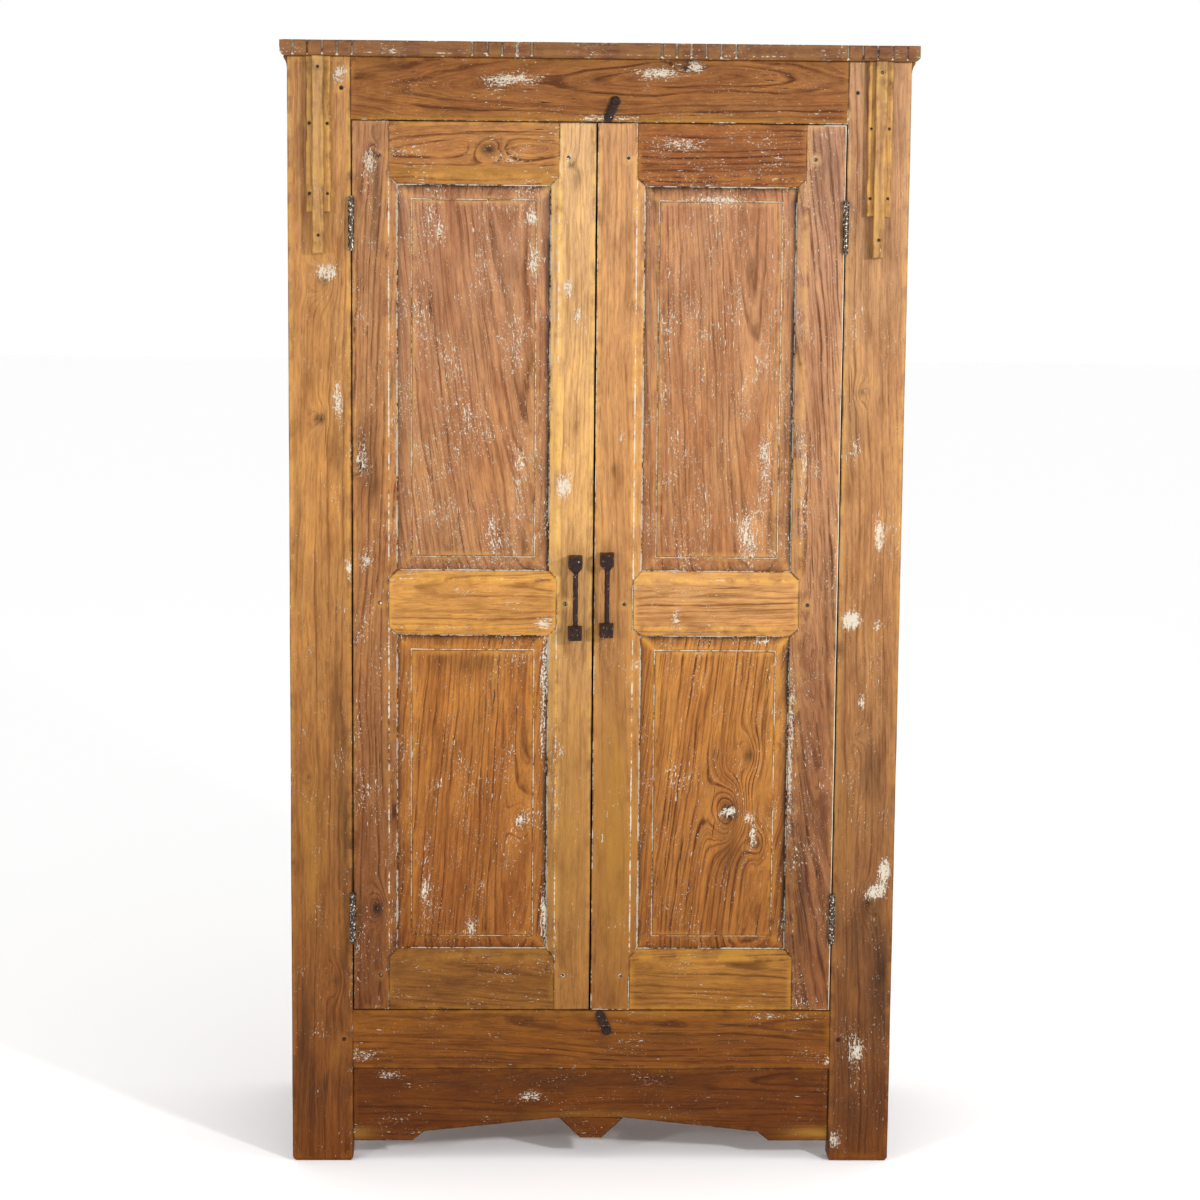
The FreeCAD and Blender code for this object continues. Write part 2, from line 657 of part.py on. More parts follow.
# ---------------------------------------------------------------- top board and cornice
TOP_HALF = "(carcass_width/2 + top_board_side_overhang)"
TOP_FRONT = f"({FRONT} - top_board_front_overhang)"
slab = board("top_board_slab", (f"-{TOP_HALF}", TOP_HALF), (TOP_FRONT, BACK),
             (f"{POST_TOP} + top_board_bevel", "overall_height"))
under = wedge("top_board_under",
              ((f"top_board_bevel - {TOP_HALF}", f"{TOP_HALF} - top_board_bevel"),
               (f"-{BACK}", f"-{TOP_FRONT} - top_board_bevel")),
              ((f"-{TOP_HALF}", TOP_HALF), (f"-{BACK}", f"-{TOP_FRONT}")),
              "top_board_bevel", ("0", "0", POST_TOP), UPRIGHT)

# runs of old saw kerfs across the front edge: first kerf's place and their count
KERF_RUNS = (
    (f"kerf_end_inset - {TOP_HALF}", OUTER_KERFS),
    (f"-kerf_middle_distance - kerf_pitch*{(OUTER_KERFS - 1)/2}", OUTER_KERFS),
    (f"kerf_middle_distance - kerf_pitch*{(MIDDLE_KERFS - 1)/2}", MIDDLE_KERFS),
    (f"{TOP_HALF} - kerf_end_inset - kerf_pitch*{OUTER_KERFS - 1}", OUTER_KERFS),
)
kerfs = [
    board(f"kerf_{run + 1}_{index + 1}", around(f"({first} + kerf_pitch*{index})", "kerf_width"),
          (TOP_FRONT, f"{TOP_FRONT} + kerf_depth"), (POST_TOP, "overall_height"))
    for run, (first, count) in enumerate(KERF_RUNS) for index in range(count)]
node("top_board", cut("top_board", fuse("top_board_blank", slab, under), *kerfs))

COVE_RISE = "(cornice_height - cornice_lip)"
COVE_RADIUS = f"((cornice_projection^2 + {COVE_RISE}^2)/(2*cornice_projection))"
cornices = []
for hand, side in SIDES.items():
    bar = board(f"{hand}_cornice_bar", on_side(side, HALF_WIDTH, f"{HALF_WIDTH} + cornice_projection"),
                (FRONT, BACK), (f"{POST_TOP} - cornice_height", POST_TOP))
    cove = rod(f"{hand}_cornice_cove",
               (f"{side}*({HALF_WIDTH} + {COVE_RADIUS})", FRONT, f"{POST_TOP} - cornice_height"),
               "+y", COVE_RADIUS, "carcass_depth")
    cornices.append(cut(f"{hand}_cornice", bar, cove))
group("cornice_mouldings", cornices)

# ---------------------------------------------------------------- pilaster strips
back_strips = []
front_strips = []
for hand, side in SIDES.items():
    centre = f"({side}*{STRIP_X})"
    back_strip = board(f"{hand}_back_strip_board", around(centre, "back_strip_width"),
                       (BACK_STRIP_FACE, FRONT), (BACK_STRIP_FOOT, POST_TOP))
    face = board(f"{hand}_front_strip_face", around(centre, "front_strip_width"),
                 (FRONT_STRIP_FACE, BACK_STRIP_FACE), (FRONT_STRIP_FOOT, POST_TOP))
    tail = board(f"{hand}_front_strip_tail", around(centre, "front_strip_width"),
                 (BACK_STRIP_FACE, FRONT), (FRONT_STRIP_FOOT, BACK_STRIP_FOOT))
    back_strips.append(cut(f"{hand}_back_strip", back_strip, *nails[hand]))
    blank = fuse(f"{hand}_front_strip_blank", face, tail)
    front_strips.append(cut(f"{hand}_front_strip", blank, *nails[hand]))
group("pilaster_back_strips", back_strips)
group("pilaster_front_strips", front_strips)

# ---------------------------------------------------------------- hinges
KNUCKLE_PITCH = f"((hinge_length + knuckle_gap)/{KNUCKLE_COUNT})"


def hinge_leaf(name, hand, level, leaf):
    """One leaf: a plate in the gap beside the door and its share of the knuckles."""
    side = SIDES[hand]
    low, high = LEVELS[level]
    if leaf == "frame":
        near, far = "leaf_play/2", "leaf_play/2 + leaf_thickness"
    else:
        near, far = "-leaf_play/2 - leaf_thickness", "-leaf_play/2"
    sheet_x = on_side(side, f"{HINGE_X} + {near}", f"{HINGE_X} + {far}")
    parts = [board(f"{name}_plate", sheet_x, LEAF_DEPTHS, (low, high))]
    axis = (f"{side}*{HINGE_X}", HINGE_Y)
    for index in range(0 if leaf == "frame" else 1, KNUCKLE_COUNT, 2):
        foot = f"({low} + {KNUCKLE_PITCH}*{index})"
        head = f"({foot} + {KNUCKLE_PITCH} - knuckle_gap)"
        parts.append(board(f"{name}_tab_{index + 1}", sheet_x, (HINGE_Y, FRONT), (foot, head)))
        parts.append(rod(f"{name}_knuckle_{index + 1}", (*axis, foot), "+z", "barrel_radius",
                         f"{head} - {foot}"))
    bore = rod(f"{name}_bore", (*axis, low), "+z", "hinge_pin_radius + hinge_pin_play", "hinge_length")
    holes = [item for item in screws[hand, leaf] if f"_{level}_" in item.Name]
    return cut(name, fuse(f"{name}_blank", *parts), bore, *holes)


for hand in SIDES:
    group(f"{hand}_hinge_frame_leaves",
          [hinge_leaf(f"{hand}_{level}_frame_leaf", hand, level, "frame") for level in LEVELS])
group("hinge_pins", [
    rod(f"{hand}_{level}_hinge_pin", (f"{side}*{HINGE_X}", HINGE_Y, f"{low} - hinge_pin_tip"), "+z",
        "hinge_pin_radius", "hinge_length + 2*hinge_pin_tip")
    for hand, side in SIDES.items() for level, (low, high) in LEVELS.items()])
group("frame_hinge_screws", screws["left", "frame"] + screws["right", "frame"])

# ---------------------------------------------------------------- doors
DOOR_TENON = around(f"({FRONT} + door_thickness/2)", "tenon_thickness")
DOOR_DAYLIGHTS = {
    "lower": (f"({DOOR_FOOT} + door_bottom_rail_height)", LOCK_FOOT),
    "upper": (LOCK_HEAD, f"({DOOR_HEAD} - door_top_rail_height)"),
}
DOOR_RAILS = {
    "bottom": (DOOR_FOOT, f"({DOOR_DAYLIGHTS['lower'][0]} - sticking_width)"),
    "middle": (f"({LOCK_FOOT} + sticking_width)", f"({LOCK_HEAD} - sticking_width)"),
    "top": (f"({DOOR_DAYLIGHTS['upper'][1]} + sticking_width)", DOOR_HEAD),
}
DOOR_PEGS = {
    "bottom": f"({DOOR_DAYLIGHTS['lower'][0]} - peg_distance)",
    "middle": f"({LOCK_FOOT} + door_middle_rail_height/2)",
    "top": f"({DOOR_DAYLIGHTS['upper'][1]} + peg_distance)",
}
# which way a sticking bar's width runs: its rotation, and the sign of local X, which is
# its thickness counted from the door's face
BAR_TURNS = {
    "from_low_stile": (turned((0, -1, 0), (1, 0, 0)), -1),
    "from_high_stile": (turned((0, 1, 0), (-1, 0, 0)), 1),
    "from_rail_below": (turned((0, 1, 0), (0, 0, 1)), 1),
    "from_rail_above": (turned((0, -1, 0), (0, 0, -1)), -1),
}


def sticking(name, side_of_light, edge, length_range):
    """The moulded edge of one frame member beside a panel, mitred at both ends and
    sloping back to the panel. edge is the member's flat shoulder."""
    rotation, sign = BAR_TURNS[side_of_light]
    low, high = length_range
    outer = ("0", "door_thickness") if sign > 0 else ("-door_thickness", "0")
    inner = ("sticking_depth", "door_thickness") if sign > 0 else ("-door_thickness", "-sticking_depth")
    near = (outer, (low, high))
    far = (inner, (f"{low} + sticking_width", f"{high} - sticking_width"))
    upright = side_of_light.endswith("stile")
    corner = (edge, FRONT, "0") if upright else ("0", FRONT, edge)
    return wedge(name, near, far, "sticking_width", corner, rotation)


def pull(name, x, middle):
    """A bar pull forged from square iron. Each end stays a square block, drawn down through
    a short shoulder to the round bar, with a stud that goes through the door to a nut.
    Returns the pull and its two nuts."""
    front = f"({FRONT} - pull_projection)"
    bar_y = f"({front} + pull_bar_setback)"
    half = "(pull_block_spacing/2)"
    parts = [rod(f"{name}_bar", (x, bar_y, f"{middle} - {half}"), "+z", "pull_bar_radius",
                 "pull_block_spacing")]
    nuts = []
    for end, sign in (("lower", -1), ("upper", 1)):
        height = f"({middle} + {sign}*{half})"
        face = (around(x, "pull_block_width - 2*pull_block_draft"),
                around(height, "pull_block_height - 2*pull_block_draft"))
        base = (around(x, "pull_block_width"), around(height, "pull_block_height"))
        block = wedge(f"{name}_{end}_block", face, base, "pull_projection", ("0", front, "0"),
                      turned((1, 0, 0), (0, 1, 0)))
        wide = (around(x, "pull_shoulder_width"), ("-pull_bar_setback", "pull_bar_setback"))
        narrow = (around(x, "2*pull_bar_radius"), ("-pull_bar_radius", "pull_bar_radius"))
        inner_face = f"{height} - {sign}*(pull_block_height/2 - pull_block_draft)"
        shoulder = wedge(f"{name}_{end}_shoulder", wide, narrow, "pull_block_draft + pull_shoulder_length",
                         ("0", bar_y, inner_face), turned((1, 0, 0), (0, 0, -sign)))
        stud = rod(f"{name}_{end}_stud", (x, FRONT, height), "+y",
                   "stud_radius", "door_thickness + stud_tail")
        parts += [block, shoulder, stud]
        blank = doc.addObject("Part::Prism", f"{name}_{end}_nut_blank")
        place(blank, (x, DOOR_BACK, height), ALONG["+y"])
        bind(blank, "Circumradius", "nut_radius")
        bind(blank, "Height", "nut_thickness")
        nuts.append(cut(f"{name}_{end}_nut", blank, stud))
    return fuse(name, *parts), nuts


def door(hand):
    side = SIDES[hand]
    prefix = f"{hand}_door"
    stile = f"{hand}_stile_width"
    if side < 0:
        low, high = f"(hinge_gap - {HALF_OPENING})", "(meeting_offset - meeting_gap/2)"
    else:
        low, high = "(meeting_offset + meeting_gap/2)", f"({HALF_OPENING} - hinge_gap)"
    light = (f"({low} + {stile})", f"({high} - {stile})")
    shoulders = (f"({light[0]} - sticking_width)", f"({light[1]} + sticking_width)")
    kinds = ("hinge_stile", "meeting_stile") if side < 0 else ("meeting_stile", "hinge_stile")
    whole = (FRONT, DOOR_BACK)
    groove_y = (f"{FRONT} + groove_setback", f"{FRONT} + groove_setback + groove_width")
    groove_x = (f"{light[0]} - groove_depth", f"{light[1]} + groove_depth")

    grooves = [board(f"{prefix}_{panel}_groove", groove_x, groove_y,
                     (f"{levels[0]} - groove_depth", f"{levels[1]} + groove_depth"))
               for panel, levels in DOOR_DAYLIGHTS.items()]
    pull_x = f"({high} - left_pull_distance)" if side < 0 else f"({low} + right_pull_distance)"
    handle, nuts = pull(f"{hand}_pull", pull_x, f"({DOOR_FOOT} + {hand}_pull_rise)")
    pegs = []

    for kind, outward, outer, shoulder in zip(kinds, (-1, 1), (low, high), shoulders):
        name = f"{prefix}_{kind}"
        stile_x = (outer, shoulder) if outward < 0 else (shoulder, outer)
        flat = board(f"{name}_flat", stile_x, whole, (DOOR_FOOT, DOOR_HEAD))
        turn = "from_low_stile" if outward < 0 else "from_high_stile"
        bars = [sticking(f"{name}_{panel}_bar", turn, shoulder,
                         (f"{levels[0]} - sticking_width", f"{levels[1]} + sticking_width"))
                for panel, levels in DOOR_DAYLIGHTS.items()]
        cutters = list(grooves)
        for rail, levels in DOOR_RAILS.items():
            mortise = tenon(f"{name}_{rail}_mortise", shoulder, outward, DOOR_TENON, levels, MORTISE_LENGTH)
            joint_peg = peg(f"{name}_{rail}_peg", f"({shoulder} + {outward}*tenon_length/2)",
                            DOOR_PEGS[rail])
            cutters += [mortise, joint_peg]
            pegs.append(joint_peg)
        if kind == "hinge_stile":
            door_edge = f"({HALF_OPENING} - hinge_gap)"
            recess = on_side(side, f"{door_edge} - {LEAF_RECESS}", door_edge)
            cutters += [board(f"{name}_{level}_recess", recess, LEAF_DEPTHS, levels)
                        for level, levels in LEVELS.items()]
            cutters += screws[hand, "door"]
        else:
            cutters.append(handle)
        node(name, cut(name, fuse(f"{name}_blank", flat, *bars), *cutters))

    for rail, levels in DOOR_RAILS.items():
        name = f"{prefix}_{rail}_rail"
        parts = [board(f"{name}_flat", shoulders, whole, levels)]
        if rail != "top":
            parts.append(sticking(f"{name}_upper_bar", "from_rail_below", levels[1], shoulders))
        if rail != "bottom":
            parts.append(sticking(f"{name}_lower_bar", "from_rail_above", levels[0], shoulders))
        parts += [tenon(f"{name}_{end}_tenon", shoulder, outward, DOOR_TENON, levels)
                  for end, outward, shoulder in zip(("low", "high"), (-1, 1), shoulders)]
        rail_pegs = [item for item in pegs if item.Name.endswith(f"_{rail}_peg")]
        node(name, cut(name, fuse(f"{name}_blank", *parts), *grooves, *rail_pegs))

    for panel, levels in DOOR_DAYLIGHTS.items():
        fielded_panel(f"{prefix}_{panel}_panel", light, levels, (0, 1, 0), turned((1, 0, 0), (0, 1, 0)),
                      ("0", FRONT, "0"))
    group(f"{prefix}_hinge_leaves",
          [hinge_leaf(f"{hand}_{level}_door_leaf", hand, level, "door") for level in LEVELS])
    node(f"{hand}_pull", handle)
    group(f"{prefix}_fasteners", pegs + screws[hand, "door"] + nuts)


for hand in SIDES:
    door(hand)

# ---------------------------------------------------------------- turn buttons
def turn_button(level, height, reach_sign):
    """A flat forged lever on its nail, leaning to the left and just clear of the doors."""
    name = f"{level}_turn_button"
    front = "-button_thickness"
    foot_z = f"{reach_sign}*button_reach"
    head = rod(f"{name}_head", ("0", front, "0"), "+y", "button_head_radius", "button_thickness")
    foot = rod(f"{name}_foot", ("0", front, foot_z), "+y", "button_foot_radius", "button_thickness")
    bar_z = (foot_z, "0") if reach_sign < 0 else ("0", foot_z)
    bar = board(f"{name}_bar", ("-button_foot_radius", "button_foot_radius"), (front, "0"), bar_z)
    hole = rod(f"{name}_hole", ("0", front, "0"), "+y", "pivot_radius + pivot_play", "button_thickness")
    lever = cut(name, fuse(f"{name}_blank", head, foot, bar), hole)
    tilt_axis = FreeCAD.Vector(0, -reach_sign, 0)
    place(lever, (BUTTON_X, BUTTON_BACK, height), FreeCAD.Rotation(tilt_axis, number("button_tilt")))
    bind(lever, "Placement.Rotation.Angle", "button_tilt")
    return node(name, lever)


turn_button("top", PIVOT_LEVELS["top"], -1)
turn_button("bottom", PIVOT_LEVELS["bottom"], 1)

# ---------------------------------------------------------------- check and write
doc.recompute()
for item in doc.Objects:
    if {"Invalid", "Error"} & set(item.State):
        raise RuntimeError(f"{item.Label} did not build: {item.State}")
for name, item in pieces.items():
    if item.Shape.isNull() or not item.Shape.isValid() or not item.Shape.Solids:
        raise RuntimeError(f"{name} is not a sound solid")

os.makedirs("parts", exist_ok=True)
for name, item in pieces.items():
    item.Shape.exportStep(f"parts/{name}.step")
print(f"{len(pieces)} sub-parts, {sum(len(item.Shape.Solids) for item in pieces.values())} solids")
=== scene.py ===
import json
import math
import bmesh
import bpy
import numpy as np
from mathutils import Matrix, Vector
from mathutils.kdtree import KDTree


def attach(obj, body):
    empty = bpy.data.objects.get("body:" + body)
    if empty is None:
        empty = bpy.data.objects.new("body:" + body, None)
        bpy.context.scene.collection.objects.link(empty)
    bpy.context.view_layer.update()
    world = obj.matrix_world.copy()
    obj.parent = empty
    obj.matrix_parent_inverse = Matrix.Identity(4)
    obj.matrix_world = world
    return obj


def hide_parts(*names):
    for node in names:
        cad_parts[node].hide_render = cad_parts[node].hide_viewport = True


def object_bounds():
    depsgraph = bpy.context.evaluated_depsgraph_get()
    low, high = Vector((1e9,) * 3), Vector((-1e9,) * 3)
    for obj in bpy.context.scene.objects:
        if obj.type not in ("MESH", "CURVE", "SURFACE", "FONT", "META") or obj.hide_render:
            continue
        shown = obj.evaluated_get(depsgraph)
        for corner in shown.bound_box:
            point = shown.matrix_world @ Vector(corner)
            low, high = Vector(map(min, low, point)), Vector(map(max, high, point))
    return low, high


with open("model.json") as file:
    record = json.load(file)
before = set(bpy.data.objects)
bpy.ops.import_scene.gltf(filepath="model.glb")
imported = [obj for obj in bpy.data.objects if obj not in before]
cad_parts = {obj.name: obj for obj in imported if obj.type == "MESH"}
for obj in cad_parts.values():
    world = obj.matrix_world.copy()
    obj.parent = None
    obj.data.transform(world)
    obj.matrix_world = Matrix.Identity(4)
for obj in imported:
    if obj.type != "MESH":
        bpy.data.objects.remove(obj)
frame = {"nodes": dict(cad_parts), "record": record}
cad_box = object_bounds()

# A two-door armoire in reclaimed teak. Each wooden piece is a copy of its CAD solid, cut
# into a fine grid, with its edges worn round and its own grain, knots, stains and old paint
# written on its points. Lengths are in metres, but in millimetres where the name ends in
# _mm or _MM, and in the board table.
MM = 0.001
HEIGHT_MM = (cad_box[1][2] - cad_box[0][2]) / MM


# ---------------------------------------------------------------- small helpers
def linear(hex_colour):
    """An sRGB hex colour as linear RGBA."""
    parts = [int(hex_colour[i:i + 2], 16) / 255 for i in (1, 3, 5)]
    return tuple(part / 12.92 if part <= 0.04045 else ((part + 0.055) / 1.055) ** 2.4
                 for part in parts) + (1.0,)


def add(material, kind, inputs=None, **settings):
    """Adds a node with its settings; an input is a value or another node's output."""
    tree = material.node_tree
    node = tree.nodes.new(f"ShaderNode{kind}")
    for name, value in settings.items():
        setattr(node, name, value)
    for socket, value in (inputs or {}).items():
        if isinstance(value, bpy.types.NodeSocket):
            tree.links.new(value, node.inputs[socket])
        else:
            node.inputs[socket].default_value = value
    return node


def bell(distance_squared):
    """1 at the middle of a mark, falling smoothly to nothing past its edge."""
    return np.exp(-distance_squared)


def ripples(points_mm, wavelength_mm, seed, waves=6):
    """Smooth noise from -1 to 1 over rows of points: a few plane waves in seeded directions."""
    random = np.random.default_rng(seed)
    total = np.zeros(len(points_mm))
    for _ in range(waves):
        direction = random.normal(size=3)
        direction /= np.linalg.norm(direction)
        length = wavelength_mm * random.uniform(0.6, 1.7)
        total += np.sin(points_mm @ direction * math.tau / length + random.uniform(0, math.tau))
    return total / math.sqrt(waves * 2)


# ---------------------------------------------------------------- what each board is cut from
# tint is the waxed teak's mid colour. pith is how far the log's heart lies from the board's
# middle, across its width and behind its face, in mm; tilt and slope, in mm per metre, are
# how fast it comes nearer the face and drifts across the width on the way up or to the
# right. Marks are placed by shares of the board's length and width:
#   knots    (along, across, radius mm, rings pushed out mm)
#   stains   (along, across, half length mm, half width mm, depth of colour; rubbed pale below 0)
#   patches  (along, across, half length mm, half width mm, how much old paint is left)
# lines is how dark the ring lines are, redness how far it turns from honey to red-brown in
# places, paint how much old paint is left all over, and edge_paint how much of it the edges
# keep on the left or lower side and on the other.
PLAIN = {"tint": "#b07a48", "pith": (60, 40), "tilt": 20, "slope": 0, "paint": 0.10, "lines": 0.7,
         "edge_paint": (0.25, 0.25), "redness": 0.5, "knots": (), "stains": (), "patches": ()}
BOARDS = {
    "left_front_post": {
        "tint": "#a1723f", "redness": 0.35, "pith": (150, 60), "tilt": 22, "slope": 20, "paint": 0.10,
        "edge_paint": (0.15, 0.3),
        "knots": [(0.806, 0.56, 17, 42), (0.683, 0.48, 10, 26), (0.36, 0.3, 8, 16), (0.17, 0.7, 12, 24)],
        "patches": [(0.985, 0.85, 14, 12, 0.5), (0.813, 0.62, 15, 17, 0.8), (0.70, 0.78, 28, 7, 0.85),
                    (0.55, 0.95, 24, 8, 0.5), (0.4, 0.2, 20, 8, 0.25), (0.12, 0.4, 26, 10, 0.3)],
        "stains": [(0.683, 0.5, 9, 10, 0.9), (0.66, 0.8, 70, 10, 0.4), (0.6, 0.15, 60, 9, 0.3),
                   (0.43, 0.75, 90, 9, 0.3), (0.06, 0.5, 60, 60, 0.3), (0.2, 0.9, 90, 10, 0.5),
                   (0.32, 0.9, 130, 13, 0.6), (0.3, 0.35, 140, 18, -0.5), (0.13, 0.2, 80, 12, 0.5),
                   (0.1, 0.7, 50, 16, -0.3), (0.92, 0.3, 60, 20, 0.25)],
    },
    "right_front_post": {
        "tint": "#9d7249", "redness": 0.4, "pith": (-140, 50), "tilt": -24, "slope": -15, "paint": 0.12,
        "edge_paint": (0.3, 0.2),
        "knots": [(0.245, 0.6, 14, 30), (0.71, 0.3, 9, 20), (0.4, 0.35, 10, 22)],
        "patches": [(0.505, 0.22, 12, 14, 1.0), (0.5, 0.64, 10, 6, 0.7), (0.58, 0.64, 26, 7, 0.85),
                    (0.43, 0.4, 12, 6, 0.5), (0.275, 0.85, 22, 9, 0.8), (0.255, 0.72, 12, 16, 0.85),
                    (0.66, 0.25, 16, 10, 0.4), (0.105, 0.45, 20, 14, 0.4), (0.02, 0.1, 16, 10, 0.6)],
        "stains": [(0.36, 0.6, 60, 16, 0.45), (0.2, 0.5, 90, 40, 0.5), (0.16, 0.85, 120, 16, 0.65),
                   (0.3, 0.2, 110, 14, -0.35), (0.11, 0.3, 60, 18, 0.4),
                   (0.68, 0.2, 80, 14, 0.3), (0.05, 0.5, 60, 60, 0.4)],
    },
    "front_top_rail": {
        "tint": "#805023", "lines": 1.1, "pith": (10, 16), "tilt": 95, "slope": 12, "paint": 0.13,
        "edge_paint": (0.5, 0.2),
        "knots": [(0.66, 0.85, 10, 24)],
        "patches": [(0.32, 0.66, 66, 9, 0.42), (0.61, 0.78, 44, 10, 0.4), (0.68, 0.88, 12, 7, 0.75),
                    (0.52, 0.06, 60, 6, 0.4)],
        "stains": [(0.66, 0.92, 40, 12, 0.6), (0.1, 0.95, 60, 12, 0.4), (0.45, 0.0, 420, 9, -0.9)],
    },
    "front_bottom_rail": {
        "tint": "#9e6d2a", "lines": 0.9, "pith": (40, 20), "tilt": 30, "slope": -20, "paint": 0.10,
        "patches": [(0.05, 0.2, 30, 10, 0.35), (0.85, 0.9, 40, 6, 0.3), (0.97, 0.15, 20, 10, 0.3)],
        "stains": [(0.3, 0.1, 150, 12, 0.3), (0.7, 0.5, 120, 16, 0.25), (0.55, 0.98, 300, 7, -0.5)],
    },
    "front_apron": {
        "tint": "#87581b", "pith": (30, 30), "tilt": 40, "slope": 16, "paint": 0.11,
        "patches": [(0.38, 0.62, 22, 9, 0.45), (0.1, 0.9, 30, 8, 0.4), (0.03, 0.12, 20, 8, 0.4)],
        "stains": [(0.03, 0.1, 40, 11, -0.8), (0.94, 0.1, 50, 11, -0.8), (0.4, 0.8, 200, 14, 0.35),
                   (0.5, 0.35, 170, 8, -0.35)],
    },
    "apron_drop": {"tint": "#83551d", "pith": (40, 30), "tilt": 10, "paint": 0.12},
    "top_board": {
        "tint": "#6d4627", "pith": (90, 60), "tilt": 24, "slope": 10, "paint": 0.14,
        "edge_paint": (0.4, 0.15),
    },
    "cornice_mouldings": {"tint": "#6b4624", "pith": (30, 30), "tilt": 10, "paint": 0.06},
    "pilaster_back_strips": {
        "tint": "#a87940", "redness": 0.2, "pith": (50, 30), "tilt": 10, "slope": 8, "paint": 0.08,
        "stains": [(0.93, 0.5, 26, 22, 0.6)],
    },
    "pilaster_front_strips": {
        "tint": "#9d7342", "redness": 0.2, "pith": (60, 40), "tilt": 6, "slope": 8, "paint": 0.06,
        "stains": [(0.93, 0.5, 26, 12, 0.75)],
    },
    "left_door_hinge_stile": {
        "tint": "#95673f", "lines": 1.1, "edge_paint": (0.2, 0.7), "pith": (46, 22),
        "tilt": 60, "slope": 42, "paint": 0.17,
        "knots": [(0.965, 0.5, 8, 22), (0.118, 0.55, 13, 40), (0.62, 0.2, 10, 22)],
        "stains": [(0.9, 0.55, 100, 7, 0.7), (0.63, 0.3, 70, 14, 0.55), (0.6, 0.5, 60, 8, 0.4),
                   (0.118, 0.55, 16, 9, 0.7)],
        "patches": [(0.955, 0.4, 22, 10, 0.35), (0.63, 0.2, 40, 12, 0.4), (0.515, 0.3, 20, 14, 0.45)],
    },
    "left_door_meeting_stile": {
        "tint": "#b48a57", "lines": 0.5, "redness": 0.2, "edge_paint": (0.6, 0.25), "pith": (-160, 60),
        "tilt": 10, "slope": 10, "paint": 0.08,
        "knots": [(0.955, 0.45, 8, 16)],
        "stains": [(0.94, 0.6, 16, 8, 0.4), (0.955, 0.45, 6, 6, 0.5), (0.35, 0.2, 90, 6, 0.3),
                   (0.2, 0.5, 220, 40, -0.6)],
        "patches": [(0.96, 0.4, 10, 8, 0.4), (0.82, 0.4, 18, 9, 0.55), (0.79, 0.6, 16, 5, 0.5),
                    (0.60, 0.35, 22, 14, 0.6), (0.3, 0.3, 16, 8, 0.35)],
    },
    "left_door_top_rail": {
        "tint": "#966432", "lines": 1.2, "pith": (0, 6), "tilt": 120, "slope": 30, "paint": 0.17,
        "knots": [(0.57, 0.55, 13, 34)],
        "patches": [(0.15, 0.5, 34, 12, 0.25), (0.02, 0.1, 8, 8, 0.7), (0.66, 0.4, 30, 8, 0.25)],
        "stains": [(0.5, 0.18, 220, 11, -0.9), (0.57, 0.55, 26, 12, 0.3)],
    },
    "left_door_middle_rail": {
        "tint": "#b48245", "lines": 0.7, "redness": 0.4, "pith": (24, 24), "tilt": 55, "slope": 20,
        "paint": 0.10, "edge_paint": (0.4, 0.4),
        "patches": [(0.85, 0.2, 16, 12, 0.5), (0.45, 0.7, 20, 8, 0.3)],
    },
    "left_door_bottom_rail": {"tint": "#9e753a", "pith": (30, 26), "tilt": 40, "slope": -10, "paint": 0.12},
    "left_door_upper_panel": {
        "tint": "#996c48", "lines": 0.9, "redness": 0.8, "pith": (120, 60), "tilt": 45, "slope": -105,
        "paint": 0.22,
        "patches": [(0.905, 0.85, 8, 8, 0.75), (0.8, 0.86, 40, 9, 0.3), (0.87, 0.3, 20, 8, 0.3),
                    (0.1, 0.62, 40, 14, 0.25), (0.25, 0.78, 50, 12, 0.3)],
        "stains": [(0.75, 0.75, 50, 14, 0.3)],
    },
    "left_door_lower_panel": {
        "tint": "#ab7438", "lines": 1.0, "redness": 0.7, "pith": (60, 24), "tilt": 60, "slope": 90,
        "paint": 0.18,
        "patches": [(0.88, 0.95, 60, 7, 0.65), (0.7, 0.93, 50, 5, 0.45), (0.08, 0.5, 22, 12, 0.4),
                    (0.2, 0.2, 30, 7, 0.4), (0.42, 0.8, 10, 10, 0.35), (0.12, 0.95, 40, 5, 0.5)],
        "knots": [(0.42, 0.8, 12, 30)],
        "stains": [(0.9, 0.5, 18, 90, 0.35)],
    },
    "right_door_meeting_stile": {
        "tint": "#a8794a", "lines": 0.5, "redness": 0.3, "edge_paint": (0.6, 0.7), "pith": (140, 60),
        "tilt": 12, "slope": -12, "paint": 0.09,
        "patches": [(0.655, 0.55, 10, 4, 0.7), (0.4, 0.9, 12, 8, 0.5), (0.2, 0.2, 16, 8, 0.35)],
        "stains": [(0.62, 0.4, 8, 6, 0.4), (0.3, 0.75, 60, 8, 0.3), (0.2, 0.5, 240, 40, -1.0)],
    },
    "right_door_top_rail": {
        "tint": "#7e4c23", "lines": 1.3, "pith": (46, 14), "tilt": 50, "slope": 30, "paint": 0.22,
        "patches": [(0.3, 0.7, 40, 12, 0.3)],
    },
    "right_door_middle_rail": {
        "tint": "#b68652", "lines": 0.9, "redness": 0.5, "pith": (40, 26), "tilt": 30, "slope": 40,
        "paint": 0.12, "edge_paint": (0.4, 0.4),
        "patches": [(0.3, 0.3, 8, 18, 0.45), (0.06, 0.75, 14, 12, 0.35)],
    },
    "right_door_bottom_rail": {
        "tint": "#be934b", "lines": 0.9, "redness": 0.5, "pith": (20, 16), "tilt": 60, "slope": 24,
        "paint": 0.10,
    },
    "right_door_upper_panel": {
        "tint": "#9b6d47", "lines": 0.8, "redness": 0.7, "pith": (70, 30), "tilt": 48, "slope": -30,
        "paint": 0.22,
